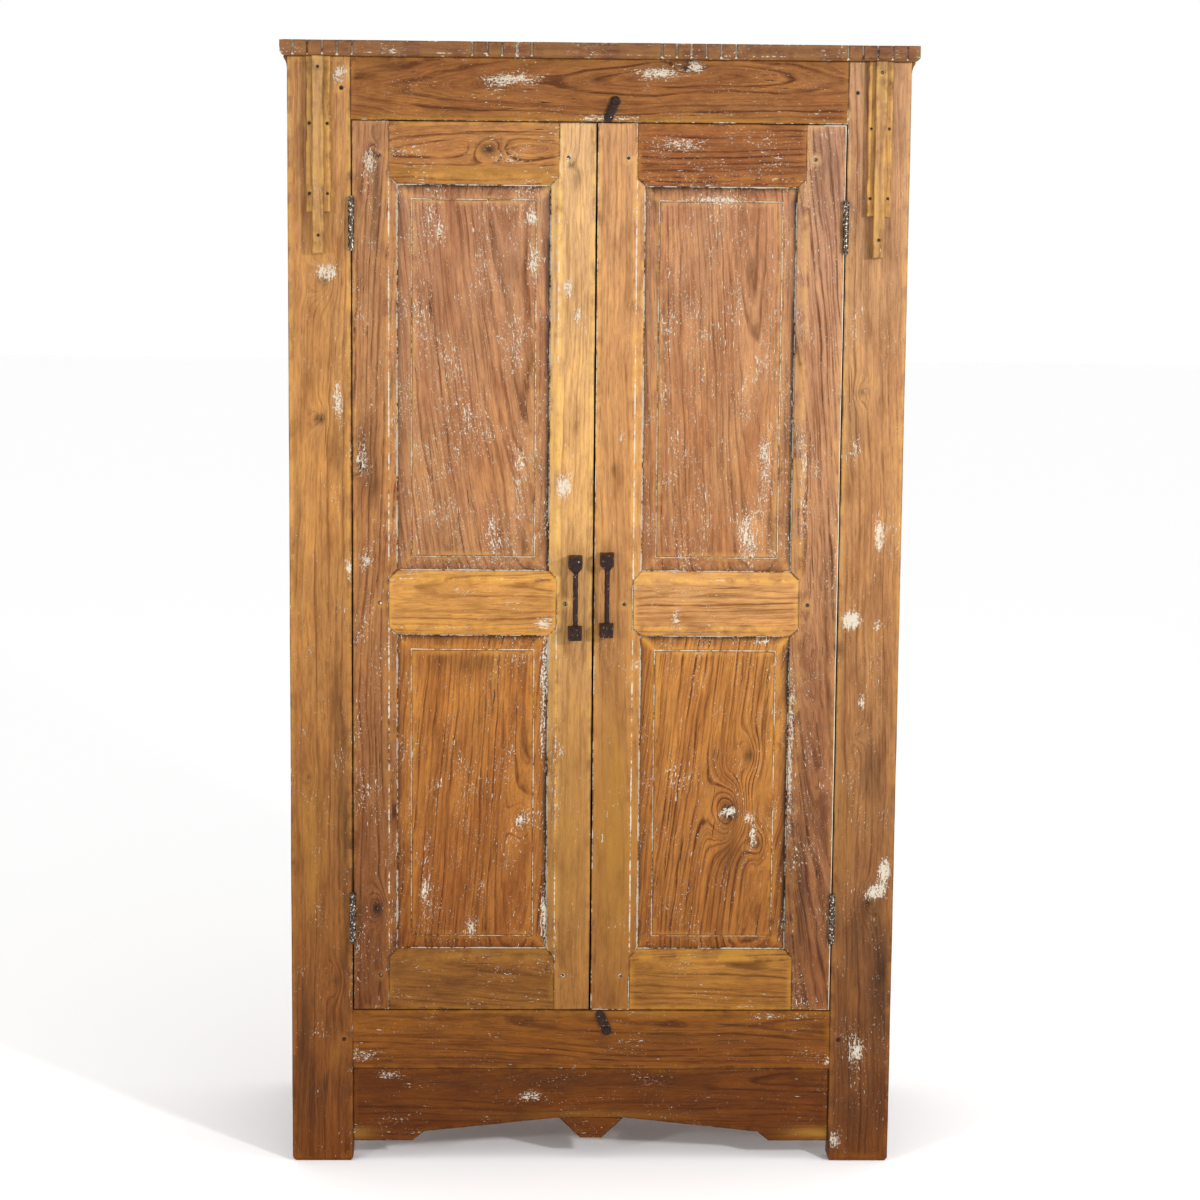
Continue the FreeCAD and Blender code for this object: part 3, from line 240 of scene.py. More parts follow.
        "patches": [(0.955, 0.45, 5, 50, 0.4), (0.1, 0.7, 50, 14, 0.3), (0.3, 0.8, 50, 10, 0.3)],
        "stains": [(0.12, 0.85, 60, 10, 0.45), (0.3, 0.9, 80, 8, 0.4)],
    },
    "right_door_lower_panel": {
        "tint": "#b17c3f", "lines": 1.4, "redness": 0.7, "pith": (70, 34), "tilt": 40, "slope": 120,
        "paint": 0.16,
        "knots": [(0.447, 0.60, 24, 80), (0.35, 0.78, 13, 34), (0.62, 0.72, 16, 30)],
        "patches": [(0.447, 0.60, 7, 12, 0.6), (0.43, 0.72, 8, 7, 0.55), (0.37, 0.76, 22, 5, 0.6),
                    (0.97, 0.8, 8, 22, 0.45)],
        "stains": [(0.447, 0.60, 20, 16, 0.4), (0.3, 0.6, 60, 14, 0.3)],
    },
    "right_door_hinge_stile": {
        "tint": "#9d714f", "lines": 1.3, "edge_paint": (0.12, 1.0), "pith": (60, 30),
        "tilt": 40, "slope": -100, "paint": 0.18,
        "stains": [(0.95, 0.5, 60, 40, 0.35), (0.15, 0.3, 180, 16, 0.45), (0.5, 0.9, 90, 8, 0.3)],
        "patches": [(0.3, 0.05, 160, 6, 0.4), (0.6, 0.2, 80, 8, 0.25)],
    },
}


# ---------------------------------------------------------------- cutting and wearing a piece
# Even steps of the grid, coarser on what the doors, the back and the sides hide, and the
# close rows on both sides of every flat face and long edge that let the edges wear round.
GRID_MM = 6
HIDDEN_GRID_MM = 12
EDGE_ROWS_MM = (0.8, 2.4)
SMALLEST_ROW_MM = 0.5
SMALLEST_STEP_SHARE = 0.3
SAME_PLACE_MM = 0.01
FLAT_FACE_MM2 = 20
LONG_EDGE_MM = 80
LEAST_CREASE = math.radians(4)
FLAT_WITHIN = math.radians(1)
SHARP_FROM = math.radians(50)


def kept_levels(bm, axis):
    """The levels on one axis that hold flat faces or long edges, and the piece's two ends."""
    flats = {round(face.calc_center_median()[axis] / MM, 2) for face in bm.faces
             if abs(face.normal[axis]) > 0.999 and face.calc_area() > FLAT_FACE_MM2 * MM * MM}
    lined = {}
    for edge in bm.edges:
        first, second = (vert.co[axis] / MM for vert in edge.verts)
        if abs(first - second) < SAME_PLACE_MM and edge.calc_face_angle(0.0) > LEAST_CREASE:
            level = round(first, 2)
            lined[level] = lined.get(level, 0) + edge.calc_length()
    long_edges = {level for level, length in lined.items() if length > LONG_EDGE_MM * MM}
    places = [vert.co[axis] / MM for vert in bm.verts]
    return sorted(flats | long_edges), min(places), max(places)


def gridded(node, grid_mm):
    """The node's mesh, welded and cut by planes along each axis, the longest first."""
    bm = bmesh.new()
    bm.from_mesh(frame["nodes"][node].data)
    bmesh.ops.remove_doubles(bm, verts=bm.verts, dist=SAME_PLACE_MM * MM)
    bmesh.ops.dissolve_limit(bm, angle_limit=FLAT_WITHIN, verts=bm.verts[:], edges=bm.edges[:])
    label_solids(bm)
    spans = [(kept_levels(bm, axis), axis) for axis in range(3)]
    spans.sort(key=lambda span: span[0][1] - span[0][2])
    for (flats, low, high), axis in spans:
        rows = sorted(flat + sign * row for flat in flats for row in EDGE_ROWS_MM for sign in (-1, 1))
        steps = max(1, round((high - low) / grid_mm))
        even = [low + (high - low) * step / steps for step in range(1, steps)]
        chosen = list(flats)
        for levels, room in ((rows, SMALLEST_ROW_MM), (even, grid_mm * SMALLEST_STEP_SHARE)):
            for level in levels:
                if all(abs(level - other) >= room for other in chosen) and low < level < high:
                    chosen.append(level)
        normal = [float(index == axis) for index in range(3)]
        for level in sorted(set(chosen) - set(flats)):
            bmesh.ops.bisect_plane(bm, geom=bm.verts[:] + bm.edges[:] + bm.faces[:],
                                   dist=0.001 * MM, plane_co=[n * level * MM for n in normal],
                                   plane_no=normal)
    bmesh.ops.recalc_face_normals(bm, faces=bm.faces[:])
    return bm


def label_solids(bm):
    """Numbers each separate solid in a float layer, which the later cuts carry along."""
    layer = bm.verts.layers.float.new("solid")
    label = 0
    for start in bm.verts:
        if start[layer]:
            continue
        label += 1
        start[layer] = label
        waiting = [start]
        while waiting:
            for edge in waiting.pop().link_edges:
                for vert in edge.verts:
                    if not vert[layer]:
                        vert[layer] = label
                        waiting.append(vert)


def distances_mm(points, targets, reach_mm):
    """How far each point is from the nearest target, no more than reach_mm."""
    if not len(targets):
        return np.full(len(points), float(reach_mm))
    tree = KDTree(len(targets))
    for index, target in enumerate(targets):
        tree.insert(target, index)
    tree.balance()
    return np.array([min(tree.find(point)[2], reach_mm) for point in points])


def smoothed(co, ends, weight):
    """Moves each point toward its neighbours' average, by its weight, near ones counting most."""
    apart = np.linalg.norm(co[ends[:, 0]] - co[ends[:, 1]], axis=1)
    pull = 1 / np.maximum(apart, NEAREST_MM)
    total = np.zeros_like(co)
    share = np.zeros(len(co))
    for here, there in ((0, 1), (1, 0)):
        for axis in range(3):
            total[:, axis] += np.bincount(ends[:, here], co[ends[:, there], axis] * pull, len(co))
        share += np.bincount(ends[:, here], pull, len(co))
    average = total / np.maximum(share, 1e-9)[:, None]
    return co + (average - co) * weight[:, None]


def touched(ends, count):
    """Which of the points these edges join."""
    marked = np.zeros(count, bool)
    marked[ends.ravel()] = True
    return marked


# How far each pass of wear pulls an edge in: the first moves the edge alone, the others the
# rows beside it too. A surface has a deepest chip, and its waves as (length, height).
WEAR_PASSES = (0.75, 0.6, 0.5)
HAND_PLANED = {"chip_mm": 1.1, "waves_mm": ((150, 0.22),)}
HAMMERED = {"chip_mm": 0.3, "waves_mm": ((13, 0.32), (6, 0.16))}
OUTER_EDGE = math.radians(20)
SQUARE_EDGE = math.radians(65)
HOLLOW = math.radians(12)
NEAREST_MM = 0.05
MARK_REACH_MM = 14


def worn(bm, seed, surface):
    """Rounds the outer edges unevenly, chips them here and there and makes the faces gently
    uneven. Returns the points in millimetres, their solids' numbers, and how far each is from
    the nearest outer edge, square outer edge and hollow."""
    bm.verts.ensure_lookup_table()
    bm.normal_update()
    layer = bm.verts.layers.float["solid"]
    solids = np.array([round(vert[layer]) for vert in bm.verts])
    co = np.array([vert.co for vert in bm.verts]) / MM
    normals = np.array([vert.normal for vert in bm.verts])
    ends = np.array([[vert.index for vert in edge.verts] for edge in bm.edges])
    angles = np.array([edge.calc_face_angle_signed(0.0) for edge in bm.edges])
    outer, joint = (touched(ends[angles > least], len(co)) for least in (OUTER_EDGE, SQUARE_EDGE))
    hollow = touched(ends[angles < -HOLLOW], len(co))
    outer &= ~hollow
    near = touched(ends[outer[ends].any(axis=1)], len(co)) & ~hollow
    targets = {"to_edge": outer, "to_joint": joint, "to_hollow": hollow}
    reach = {name: distances_mm(co, co[marked], MARK_REACH_MM) for name, marked in targets.items()}
    # wear varies every 45 mm or so; chips come only where two slower patterns agree
    wear = 0.72 + 0.28 * ripples(co, 45, seed)
    chips = np.clip(ripples(co, 26, seed + 1) * ripples(co, 90, seed + 2) - 0.28, 0, 0.5) * 2
    co = co - normals * (outer * chips * surface["chip_mm"])[:, None]
    for passing, strength in enumerate(WEAR_PASSES):
        moving = outer if passing == 0 else near
        co = smoothed(co, ends, moving * np.clip(wear, 0.2, 1) * strength)
    for wavelength, height in surface["waves_mm"]:
        co = co + normals * (height * ripples(co, wavelength, seed + wavelength) * ~hollow)[:, None]
    return co, solids, reach


# ---------------------------------------------------------------- grain and marks
# The heart line wanders by (distance, wavelength) across the board and in depth. No place
# keeps more than MOST_PAINT, so that patches stay ragged. Solids cut from the same noise
# start up to NOISE_RUN_MM apart along it.
ACROSS_WANDER_MM = (5, 190)
DEEP_WANDER_MM = (3, 160)
NOISE_RUN_MM = 3000
MOST_PAINT = 0.6


def grain_of(co, settings, seed):
    """One solid's grain coordinates and marks. Along, across and deep are its longest, middle
    and shortest axes; the ring lines are circles round the heart line in those coordinates."""
    low, high = co.min(axis=0), co.max(axis=0)
    along_axis, across_axis, deep_axis = np.argsort(low - high)
    length = high[along_axis] - low[along_axis]
    width = high[across_axis] - low[across_axis]
    along = co[:, along_axis] - low[along_axis]
    across = co[:, across_axis] - (low + high)[across_axis] / 2
    deep = co[:, deep_axis] - low[deep_axis]
    random = np.random.default_rng(seed)
    stretched = np.column_stack([along / 3, across, deep])

    def wander(distance, wavelength, draw):
        return distance * ripples(stretched, wavelength, seed + draw)

    pith_across, pith_deep = settings["pith"]
    heart = across - pith_across - settings["slope"] * along / 1000
    heart = heart + wander(*ACROSS_WANDER_MM, 5)
    under = deep + pith_deep - settings["tilt"] * (along - length / 2) / 1000
    under = under + wander(*DEEP_WANDER_MM, 6)
    pushed = np.zeros(len(co))
    dark = np.zeros(len(co))
    paint = np.full(len(co), float(settings["paint"]))

    def spread(share_along, share_across, half_length, half_width):
        return bell(((along - share_along * length) / half_length) ** 2
                    + ((across + width / 2 - share_across * width) / half_width) ** 2)

    # a knot bends the rings for about two radii along and one across, round a dark eye
    for share_along, share_across, radius, push in settings["knots"]:
        pushed += push * spread(share_along, share_across, radius * 2.2, radius * 1.2)
        dark += 0.8 * spread(share_along, share_across, radius * 0.65, radius * 0.5)
    for *place, depth in settings["stains"]:
        dark += depth * spread(*place)
    for *place, amount in settings["patches"]:
        paint += amount * spread(*place)
    grain = np.column_stack([along + NOISE_RUN_MM * random.random(), heart, under])
    first, last = settings["edge_paint"]
    edge_paint = first + (last - first) * (across / width + 0.5)
    dark, paint = np.clip(dark, -1, 1), np.clip(paint, 0, MOST_PAINT)
    return grain * MM, pushed * MM, dark, paint, edge_paint


# A door panel sits this deep in the grooves, and the painted shadow beside them is about this wide.
PANEL_HIDDEN_MM = 10
PANEL_SHADOW_MM = 6.5


def painted_recess_shadow(co):
    """Painted shadow on a door panel beside the frame, darkest under the top rail and beside the
    right-hand stile, where the frame shades the panel from the light at the upper right."""
    low, high = co.min(axis=0) + PANEL_HIDDEN_MM, co.max(axis=0) - PANEL_HIDDEN_MM
    left, right = co[:, 0] - low[0], high[0] - co[:, 0]
    bottom, top = co[:, 2] - low[2], high[2] - co[:, 2]
    sides = ((left, 0.35), (right, 1.0), (bottom, 0.3), (top, 0.9))
    return np.max([amount * bell((distance / PANEL_SHADOW_MM) ** 2) for distance, amount in sides],
                  axis=0)


def shaped(name, bm, co):
    """The cut mesh as mesh data, with its points moved to their worn places."""
    mesh = bpy.data.meshes.new(name)
    bm.to_mesh(mesh)
    bm.free()
    mesh.attributes.remove(mesh.attributes["solid"])
    mesh.vertices.foreach_set("co", (co * MM).ravel())
    mesh.shade_smooth()
    mesh.set_sharp_from_angle(angle=SHARP_FROM)
    return mesh


def in_place_of(node, mesh, body, material):
    """Puts the mesh in as one piece, riding its body, in place of the CAD node."""
    mesh.materials.append(material)
    piece = bpy.data.objects.new(mesh.name, mesh)
    bpy.context.scene.collection.objects.link(piece)
    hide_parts(node)
    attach(piece, body)


# Painted light by height: the wood is darkened toward the foot as painted shade, where the light falls off,
# and greyed toward the top as a painted sheen of the lamps on the wax. At the floor the wood keeps the
# FOOT_SHADE share of its tint, and all of it from FOOT_SHADE_TO_MM up; at the very top it has the
# TOP_SHEEN share, coming on above TOP_SHEEN_FROM_MM.
FOOT_SHADE = (0.34, 0.20, 0.08)
FOOT_SHADE_TO_MM = 1100
FOOT_SHADE_CURVE = 0.7
TOP_SHEEN = (1.0, 1.08, 1.45)
TOP_SHEEN_FROM_MM = 1200


def painted_light_by_height(heights_mm):
    """The share of its tint that the wood keeps at each height: painted shade toward the foot, painted
    sheen toward the top.
    """
    foot_shade = np.clip(1 - heights_mm / FOOT_SHADE_TO_MM, 0, 1)[:, None] ** FOOT_SHADE_CURVE
    top_sheen = np.clip((heights_mm - TOP_SHEEN_FROM_MM) / (HEIGHT_MM - TOP_SHEEN_FROM_MM), 0, 1)[:, None]
    return (1 - foot_shade * (1 - np.array(FOOT_SHADE))) * (1 - top_sheen * (1 - np.array(TOP_SHEEN)))


def wooden(node, body, material, grid_mm):
    """Replaces a wooden CAD node by its worn, marked copy."""
    settings = {**PLAIN, **BOARDS.get(node, {})}
    seed = sum(map(ord, node))
    bm = gridded(node, grid_mm)
    co, solids, reach = worn(bm, seed, HAND_PLANED)
    mesh = shaped(node + "_wood", bm, co)
    grain = np.zeros((len(co), 3))
    marks = {name: np.zeros(len(co)) for name in ("pushed", "dark", "paint", "edge_paint")}
    for solid in np.unique(solids):
        mine = solids == solid
        grain[mine], *found = grain_of(co[mine], settings, seed * 31 + int(solid))
        for values, mark in zip(found, marks.values()):
            mark[mine] = values
    marks.update(reach)
    # painted shadow: each door panel is darkened beside its frame, on top of its stains
    if "door" in node and node.endswith("panel"):
        marks["dark"] = np.clip(marks["dark"] + painted_recess_shadow(co), -1, 1)
    same = np.ones(len(co))
    habit = np.column_stack([same * settings["lines"], marks.pop("edge_paint"),
                             same * settings["redness"]])
    tint = np.ones((len(co), 4))
    # the tint carries painted light by height: painted shade toward the foot, painted sheen toward the top
    tint[:, :3] = np.array(linear(settings["tint"])[:3]) * painted_light_by_height(co[:, 2])
    rows = [("grain", "FLOAT_VECTOR", "vector", grain), ("habit", "FLOAT_VECTOR", "vector", habit)]
    rows += [(name, "FLOAT", "value", values) for name, values in marks.items()]
    rows += [("tint", "FLOAT_COLOR", "color", tint)]
    for name, kind, field, values in rows:
        mesh.attributes.new(name, kind, "POINT").data.foreach_set(field, values.ravel())
    in_place_of(node, mesh, body, material)


IRON_GRID_MM = 1.8


def forged(node, body, material):
    """Replaces an iron CAD node by a copy with hammered faces and rounded edges."""
    bm = gridded(node, IRON_GRID_MM)
    co = worn(bm, sum(map(ord, node)), HAMMERED)[0]
    in_place_of(node, shaped(node + "_iron", bm, co), body, material)


# ---------------------------------------------------------------- materials
# Real rings are 2 to 4 mm wide and pores 0.3 mm: both are drawn coarser, so that they show.
# The shines are specular levels, low on thin old wax and on dull metal.
RING_MM = 10
PORE_MM = 3.0
CRACK = "#2c1a0c"
# GRIME_AND_SHADE colours stains and grime in the joints, and also the painted shade in hollows and the
# painted shadow beside door frames
GRIME_AND_SHADE = "#24150a"
RUBBED_BARE = "#8f6526"
OLD_PAINT = "#c3bbaa"
METAL_PAINT = "#cfc6b6"
THIN_WAX_SHINE = 0.12
METAL_SHINE = 0.3


def new_material(name):
    """A named material, and the shader that it starts with."""
    made = bpy.data.materials.new(name)
    made.use_nodes = True
    return made, made.node_tree.nodes["Principled BSDF"]


def teak(name, paint_left, wax):
    """Old teak, planed and waxed: honey-brown early wood between darker late-wood lines, open
    pores that run with the grain, grime in joints, painted shade in hollows, a painted highlight along
    outer edges, and chalky old paint that stayed in pores, hollows and along edges. paint_left scales that
    paint, and wax is the roughness of the waxed face."""
    made, shader = new_material(name)

    def read(attribute, output="Fac"):
        return add(made, "Attribute", attribute_name=attribute).outputs[output]

    def maths(operation, first, second=0.0, third=0.0):
        return add(made, "Math", {0: first, 1: second, 2: third}, operation=operation).outputs[0]

    grain = read("grain", "Vector")
    along, heart, under = add(made, "SeparateXYZ", {0: grain}).outputs[:3]
    lines, edge_paint, redness = add(made, "SeparateXYZ", {0: read("habit", "Vector")}).outputs[:3]
    place = add(made, "TexCoord").outputs["Object"]

    def fleck(along_mm, across_mm, detail=2.0, roughness=0.5):
        """Noise whose cells are this long along the grain and this wide across it."""
        scale = (1 / (along_mm * MM), 1 / (across_mm * MM), 1 / (across_mm * MM))
        stretched = add(made, "VectorMath", {0: grain, 1: scale}, operation="MULTIPLY").outputs[0]
        return add(made, "TexNoise", {"Vector": stretched, "Scale": 1.0, "Detail": detail,
                                      "Roughness": roughness}).outputs["Fac"]

    def even_noise(cell_mm, detail=3.0):
        """Noise in cells this wide every way."""
        return add(made, "TexNoise", {"Vector": place, "Scale": 1 / (cell_mm * MM), "Detail": detail,
                                      "Roughness": 0.6}).outputs["Fac"]

    def ramp(value, *stops):
        """A value through stops of (position, grey level)."""
        node = add(made, "ValToRGB", {"Fac": value})
        while len(node.color_ramp.elements) < len(stops):
            node.color_ramp.elements.new(0.5)
        for element, (position, level) in zip(node.color_ramp.elements, stops):
            element.position = position
            element.color = (level, level, level, 1)
        return node.outputs["Color"]

    def fade(value, near, far):
        """1 where the value is below near, falling to 0 at far."""
        return add(made, "MapRange", {"Value": value, "From Min": near, "From Max": far, "To Min": 1.0,
                                      "To Max": 0.0}).outputs[0]

    def mix(share, first, second, blend="MIX"):
        return add(made, "Mix", {"Factor": share, "A": first, "B": second},
                   data_type="RGBA", blend_type=blend).outputs["Result"]

    def tinted(red, green, blue):
        return mix(1.0, read("tint", "Color"), (red, green, blue, 1), "MULTIPLY")

    # rings: distance from the heart, wandering a little, pushed out round knots. Each ring has
    # a strength of its own, and its dark line comes on slowly and breaks off sharply.
    radius = maths("MULTIPLY_ADD", heart, heart, maths("MULTIPLY", under, under))
    radius = maths("ADD", maths("SQRT", radius), read("pushed"))
    radius = maths("MULTIPLY_ADD", fleck(240, 42), 20 * MM, radius)
    radius = maths("MULTIPLY_ADD", fleck(55, 13), 4.5 * MM, radius)
    ring = maths("DIVIDE", radius, RING_MM * MM)
    late = ramp(maths("FRACT", ring), (0.0, 0.55), (0.1, 0.0), (0.62, 0.0), (0.82, 0.8),
                (0.92, 1.0), (1.0, 0.55))
    strength = add(made, "TexWhiteNoise", {"W": maths("FLOOR", ring)},
                   noise_dimensions="1D").outputs["Value"]
    broken = ramp(fleck(90, 20), (0.35, 0.25), (0.6, 1.0))
    late = maths("MULTIPLY", maths("MULTIPLY", late, broken), maths("MULTIPLY_ADD", strength, 0.9, 0.1))
    late = maths("MULTIPLY", late, lines)

    # streaks that follow the rings, fibres and pores that follow the board, and soft clouds
    flow = add(made, "CombineXYZ", {0: maths("DIVIDE", along, 260 * MM),
                                    1: maths("DIVIDE", radius, PORE_MM * MM)})
    streak = add(made, "TexNoise", {"Vector": flow.outputs[0], "Scale": 1.0, "Detail": 5.0,
                                    "Roughness": 0.65}).outputs["Fac"]
    fibre = fleck(26, PORE_MM, 5.0, 0.7)
    crack = fleck(170, 4.5, 3.0, 0.55)
    broad = fleck(300, 60, 2.0)
    smear = fleck(95, 24, 4.0, 0.6)
    cloud = even_noise(28, 4.0)

    # the wood's colours, as shares of the board's tint, laid over each other
    honey = tinted(1.38, 1.36, 1.15)
    deep = tinted(0.42, 0.30, 0.18)
    red_brown = tinted(0.82, 0.64, 0.56)
    ring_line = tinted(0.28, 0.17, 0.09)
    # the colour of the painted highlight along the outer edges
    edge_highlight = tinted(1.38, 1.45, 1.0)
    reddened = maths("MULTIPLY", ramp(broad, (0.38, 0.0), (0.64, 1.0)), redness)
    colour = mix(reddened, read("tint", "Color"), red_brown)
    colour = mix(ramp(smear, (0.3, 0.8), (0.48, 0.0)), colour, honey)
    colour = mix(ramp(smear, (0.52, 0.0), (0.70, 0.6)), colour, deep)
    colour = mix(ramp(streak, (0.28, 0.7), (0.47, 0.0)), colour, honey)
    colour = mix(maths("MULTIPLY", ramp(streak, (0.52, 0.0), (0.70, 0.9)), lines), colour, deep)
    colour = mix(maths("MULTIPLY", late, 1.1), colour, ring_line)
    colour = mix(ramp(fibre, (0.28, 0.6), (0.5, 0.0)), colour, deep)
    colour = mix(ramp(fibre, (0.54, 0.0), (0.74, 0.5)), colour, honey)
    cracked = maths("MULTIPLY", ramp(crack, (0.66, 0.0), (0.73, 0.9)), lines)
    colour = mix(cracked, colour, linear(CRACK))

    # stains and rubbed places, a painted highlight along the outer edges, grime in the joint lines, and
    # painted shade in the hollows
    to_edge = read("to_edge")
    to_hollow = read("to_hollow")
    dark_marks_and_shadow = read("dark")
    # on door panels the stains also carry the painted shadow beside the frames
    stain_and_shadow_share = maths("MULTIPLY", maths("MAXIMUM", dark_marks_and_shadow, 0.0), ramp(smear, (0.25, 0.45), (0.55, 1.0)))
    colour = mix(stain_and_shadow_share, colour, linear(GRIME_AND_SHADE))
    rubbed = maths("MULTIPLY", maths("MINIMUM", dark_marks_and_shadow, 0.0), -1.0)
    rubbed = maths("MULTIPLY", rubbed, ramp(smear, (0.35, 1.0), (0.75, 0.4)))
    colour = mix(rubbed, colour, linear(RUBBED_BARE))
    # painted highlight: lighter, yellower wood along the outer edges, in clouds
    edge_highlight_share = maths("MULTIPLY", fade(to_edge, 2.0, 11.0), ramp(cloud, (0.40, 0.0), (0.58, 0.75)))
    colour = mix(edge_highlight_share, colour, edge_highlight)
    joint = maths("MULTIPLY", fade(read("to_joint"), 0.5, 2.6),
                  ramp(even_noise(40), (0.38, 0.1), (0.60, 0.65)))
    colour = mix(joint, colour, linear(GRIME_AND_SHADE))
    # painted shade: darker in the hollows, in clouds
    hollow_shade = maths("MULTIPLY", fade(to_hollow, 0.5, 4.0), ramp(cloud, (0.42, 0.0), (0.60, 0.6)))
    colour = mix(hollow_shade, colour, linear(GRIME_AND_SHADE))

    # old paint: specks in clusters, dashes in the pores, and thin lines along edges and hollows.
    # Each is a noise raised by how much is left there, and shows where that passes a level.
    cluster = maths("MULTIPLY", fleck(80, 38, 3.0), 0.32)
    left = maths("MULTIPLY_ADD", read("paint"), 0.42, cluster)
    speck = maths("ADD", fleck(4.5, 3.5, 5.0, 0.75), left)
    dash = maths("ADD", fleck(15, 2.6, 3.0, 0.6), left)
    line_noise = maths("MULTIPLY", even_noise(50, 3.0), 0.55)
    line_noise = maths("MULTIPLY_ADD", even_noise(6, 5.0), 0.45, line_noise)
    on_edge = maths("MULTIPLY", fade(to_edge, 0.8, 2.4), edge_paint)
    on_hollow = maths("MULTIPLY", fade(to_hollow, 0.8, 2.6),
                      maths("MULTIPLY_ADD", edge_paint, 0.4, 0.62))
    line = maths("MULTIPLY_ADD", maths("MAXIMUM", on_edge, on_hollow), 0.36, line_noise)
    paint = maths("MAXIMUM", fade(speck, 0.91, 0.86), fade(dash, 0.96, 0.91))
    paint = maths("MAXIMUM", paint, fade(line, 0.76, 0.70))
    paint = maths("MULTIPLY", paint, paint_left)
    colour = mix(maths("MULTIPLY", paint, 0.8), colour, linear(OLD_PAINT))

    # dry paint and late wood are duller than wax, and paint and fibres stand up from the pores
    made.node_tree.links.new(colour, shader.inputs["Base Color"])
    rough = maths("MULTIPLY_ADD", paint, 0.25, maths("MULTIPLY_ADD", late, 0.12, wax))
    made.node_tree.links.new(rough, shader.inputs["Roughness"])
    shader.inputs["Specular IOR Level"].default_value = THIN_WAX_SHINE
    height = maths("MULTIPLY_ADD", fibre, 0.5, maths("MULTIPLY", paint, 0.5))
    height = maths("MULTIPLY_ADD", late, -0.6, height)
    height = maths("MULTIPLY_ADD", streak, -0.6, height)
    bump = add(made, "Bump", {"Height": height, "Strength": 0.7, "Distance": 0.8 * MM})
    made.node_tree.links.new(bump.outputs[0], shader.inputs["Normal"])
    return made


def metal(name, body_colour, other_colour, paint_share, rough, cell_mm, metallic):
    """Old hardware: forged iron under dark scale with rust in patches, or dull tarnished steel.
    Both have a soft shine, pits about half a patch wide and old paint caught here and there."""
    made, shader = new_material(name)
    place = add(made, "TexCoord").outputs["Object"]
    patches = add(made, "TexNoise", {"Vector": place, "Scale": 1 / (cell_mm * MM), "Detail": 4.0,
                                     "Roughness": 0.65}).outputs["Fac"]
    pits = add(made, "TexVoronoi", {"Vector": place, "Scale": 1 / (0.45 * cell_mm * MM)})
    share = add(made, "MapRange", {"Value": patches, "From Min": 0.4, "From Max": 0.65}).outputs[0]
    colour = add(made, "Mix", {"Factor": share, "A": linear(body_colour), "B": linear(other_colour)},
                 data_type="RGBA").outputs["Result"]
    paint = add(made, "MapRange", {"Value": patches, "From Min": 0.70 - paint_share,
                                   "From Max": 0.73 - paint_share}).outputs[0]
    colour = add(made, "Mix", {"Factor": paint, "A": colour, "B": linear(METAL_PAINT)},
                 data_type="RGBA")
    made.node_tree.links.new(colour.outputs["Result"], shader.inputs["Base Color"])
    shine = add(made, "MapRange", {"Value": patches, "From Min": 0.3, "From Max": 0.7,
                                   "To Min": rough - 0.12, "To Max": rough + 0.15})
    made.node_tree.links.new(shine.outputs[0], shader.inputs["Roughness"])
    shader.inputs["Metallic"].default_value = metallic
    shader.inputs["Specular IOR Level"].default_value = METAL_SHINE
    height = add(made, "Math", {0: pits.outputs["Distance"], 1: 0.5, 2: patches},
                 operation="MULTIPLY_ADD").outputs[0]
    bump = add(made, "Bump", {"Height": height, "Strength": 0.6, "Distance": 0.5 * MM})
    made.node_tree.links.new(bump.outputs[0], shader.inputs["Normal"])
    return made


# ---------------------------------------------------------------- camera, lights and floor
CAMERA_AT = (-0.1129, -4.8871, 1.5952)
CAMERA_TURNS = ((-1.474, "Z"), (-7.51, "X"), (-0.518, "Y"))
LENS_MM = 84
SENSOR_MM = 36
FLOOR_REACH = 30.0
LIT_PLACE = (0, -0.2, 1.1)


def camera():
    """A long lens above the middle, turned a little to the side, tipped down and rolled."""
    data = bpy.data.cameras.new("camera")
    data.lens = LENS_MM
    data.sensor_width = SENSOR_MM
    data.clip_end = 2 * FLOOR_REACH
    seen_from = bpy.data.objects.new("camera", data)
    bpy.context.scene.collection.objects.link(seen_from)
    turn = Matrix.Identity(3)
    for degrees, axis in CAMERA_TURNS:
        turn = turn @ Matrix.Rotation(math.radians(degrees), 3, axis)
    right, forward, up = (turn @ Vector(axis) for axis in ((1, 0, 0), (0, 1, 0), (0, 0, 1)))
    place = Matrix((right, up, -forward)).transposed().to_4x4()
    place.translation = CAMERA_AT
    seen_from.matrix_world = place
    bpy.context.scene.camera = seen_from


def softbox(name, place, width, height, watts):
    """A white panel of light that faces the front of the armoire."""
    data = bpy.data.lights.new(name, "AREA")
    data.shape = "RECTANGLE"
    data.size, data.size_y = width, height
    data.energy = watts
    lamp = bpy.data.objects.new(name, data)
    lamp.location = place
    lamp.rotation_euler = (Vector(LIT_PLACE) - Vector(place)).to_track_quat("-Z", "Y").to_euler()
    bpy.context.scene.collection.objects.link(lamp)


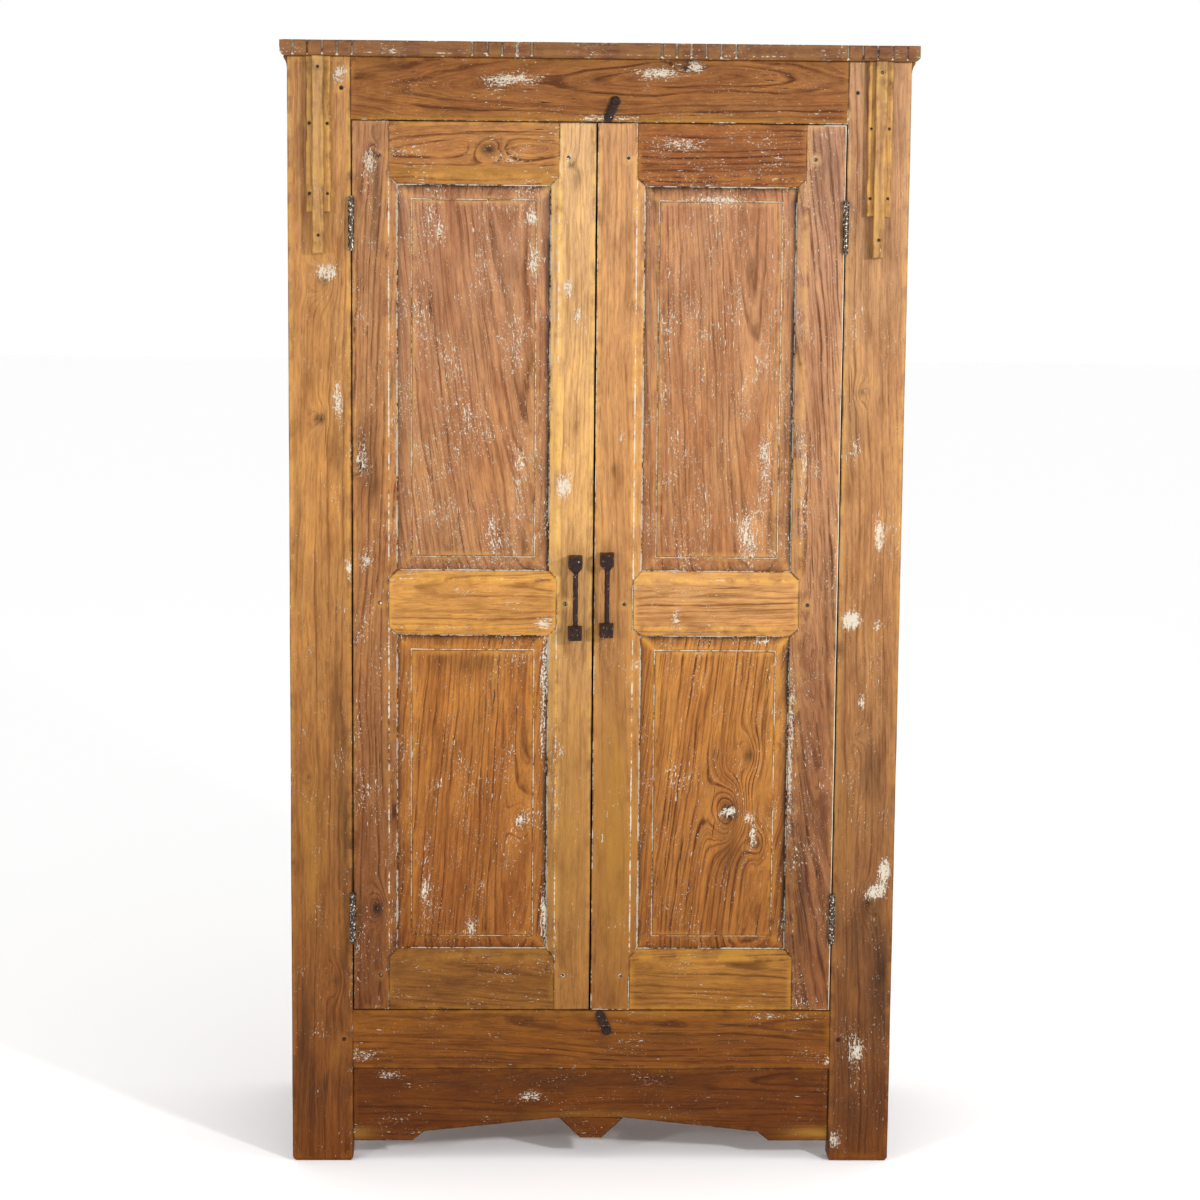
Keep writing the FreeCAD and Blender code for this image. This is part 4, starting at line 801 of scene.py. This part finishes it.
def studio():
    """A pale floor that runs out of sight, an even white surround and two softboxes."""
    world = bpy.data.worlds.new("studio")
    world.use_nodes = True
    world.node_tree.nodes["Background"].inputs["Color"].default_value = linear("#ffffff")
    world.node_tree.nodes["Background"].inputs["Strength"].default_value = 1.0
    bpy.context.scene.world = world
    mesh = bpy.data.meshes.new("floor")
    corners = [(FLOOR_REACH * x, FLOOR_REACH * y, 0) for x, y in ((-1, -1), (1, -1), (1, 1), (-1, 1))]
    mesh.from_pydata(corners, [], [(0, 1, 2, 3)])
    floor = bpy.data.objects.new("floor", mesh)
    bpy.context.scene.collection.objects.link(floor)
    paper, shader = new_material("floor_paper")
    shader.inputs["Base Color"].default_value = linear("#fdfdfd")
    shader.inputs["Roughness"].default_value = 0.9
    mesh.materials.append(paper)
    softbox("key", (2.2, -3.1, 1.9), 0.25, 0.35, 86)
    softbox("fill", (-2.2, -3.0, 1.4), 0.25, 0.25, 28)


# ---------------------------------------------------------------- putting it together
def body_of(node):
    """The moving body, or the carcass, that a node belongs to."""
    bodies = frame["record"]["behaviour"]["bodies"]
    return next(body for body, nodes in bodies.items() if node in nodes)


def grid_of(node, slot):
    """The coarser grid for what is inside, at the sides or at the back."""
    hidden = slot == "plain_teak_inside" or "side" in node or "rear" in node
    return HIDDEN_GRID_MM if hidden else GRID_MM


slots = {row["node"]: row["material_slot"] for row in frame["record"]["subparts"]}
woods = {
    "reclaimed_teak_frame": teak("waxed_reclaimed_teak", paint_left=1.0, wax=0.45),
    "reclaimed_teak_panel": teak("waxed_reclaimed_teak_panel", paint_left=1.1, wax=0.48),
    "plain_teak_inside": teak("bare_sawn_teak", paint_left=0.0, wax=0.62),
}
metals = {
    "forged_iron": metal("forged_iron", body_colour="#180c09", other_colour="#34190f",
                         paint_share=0.04, rough=0.45, cell_mm=5, metallic=0.35),
    "hinge_steel": metal("tarnished_hinge_steel", body_colour="#453d36", other_colour="#251d18",
                         paint_share=0.14, rough=0.45, cell_mm=4, metallic=0.8),
}
for node, slot in slots.items():
    if slot in woods:
        wooden(node, body_of(node), woods[slot], grid_of(node, slot))
    elif node.endswith(("pull", "turn_button")):
        forged(node, body_of(node), metals[slot])
    else:
        carried = frame["nodes"][node].data
        carried.materials.clear()
        carried.materials.append(metals[slot])

camera()
studio()
bpy.context.scene.view_settings.view_transform = "Standard"
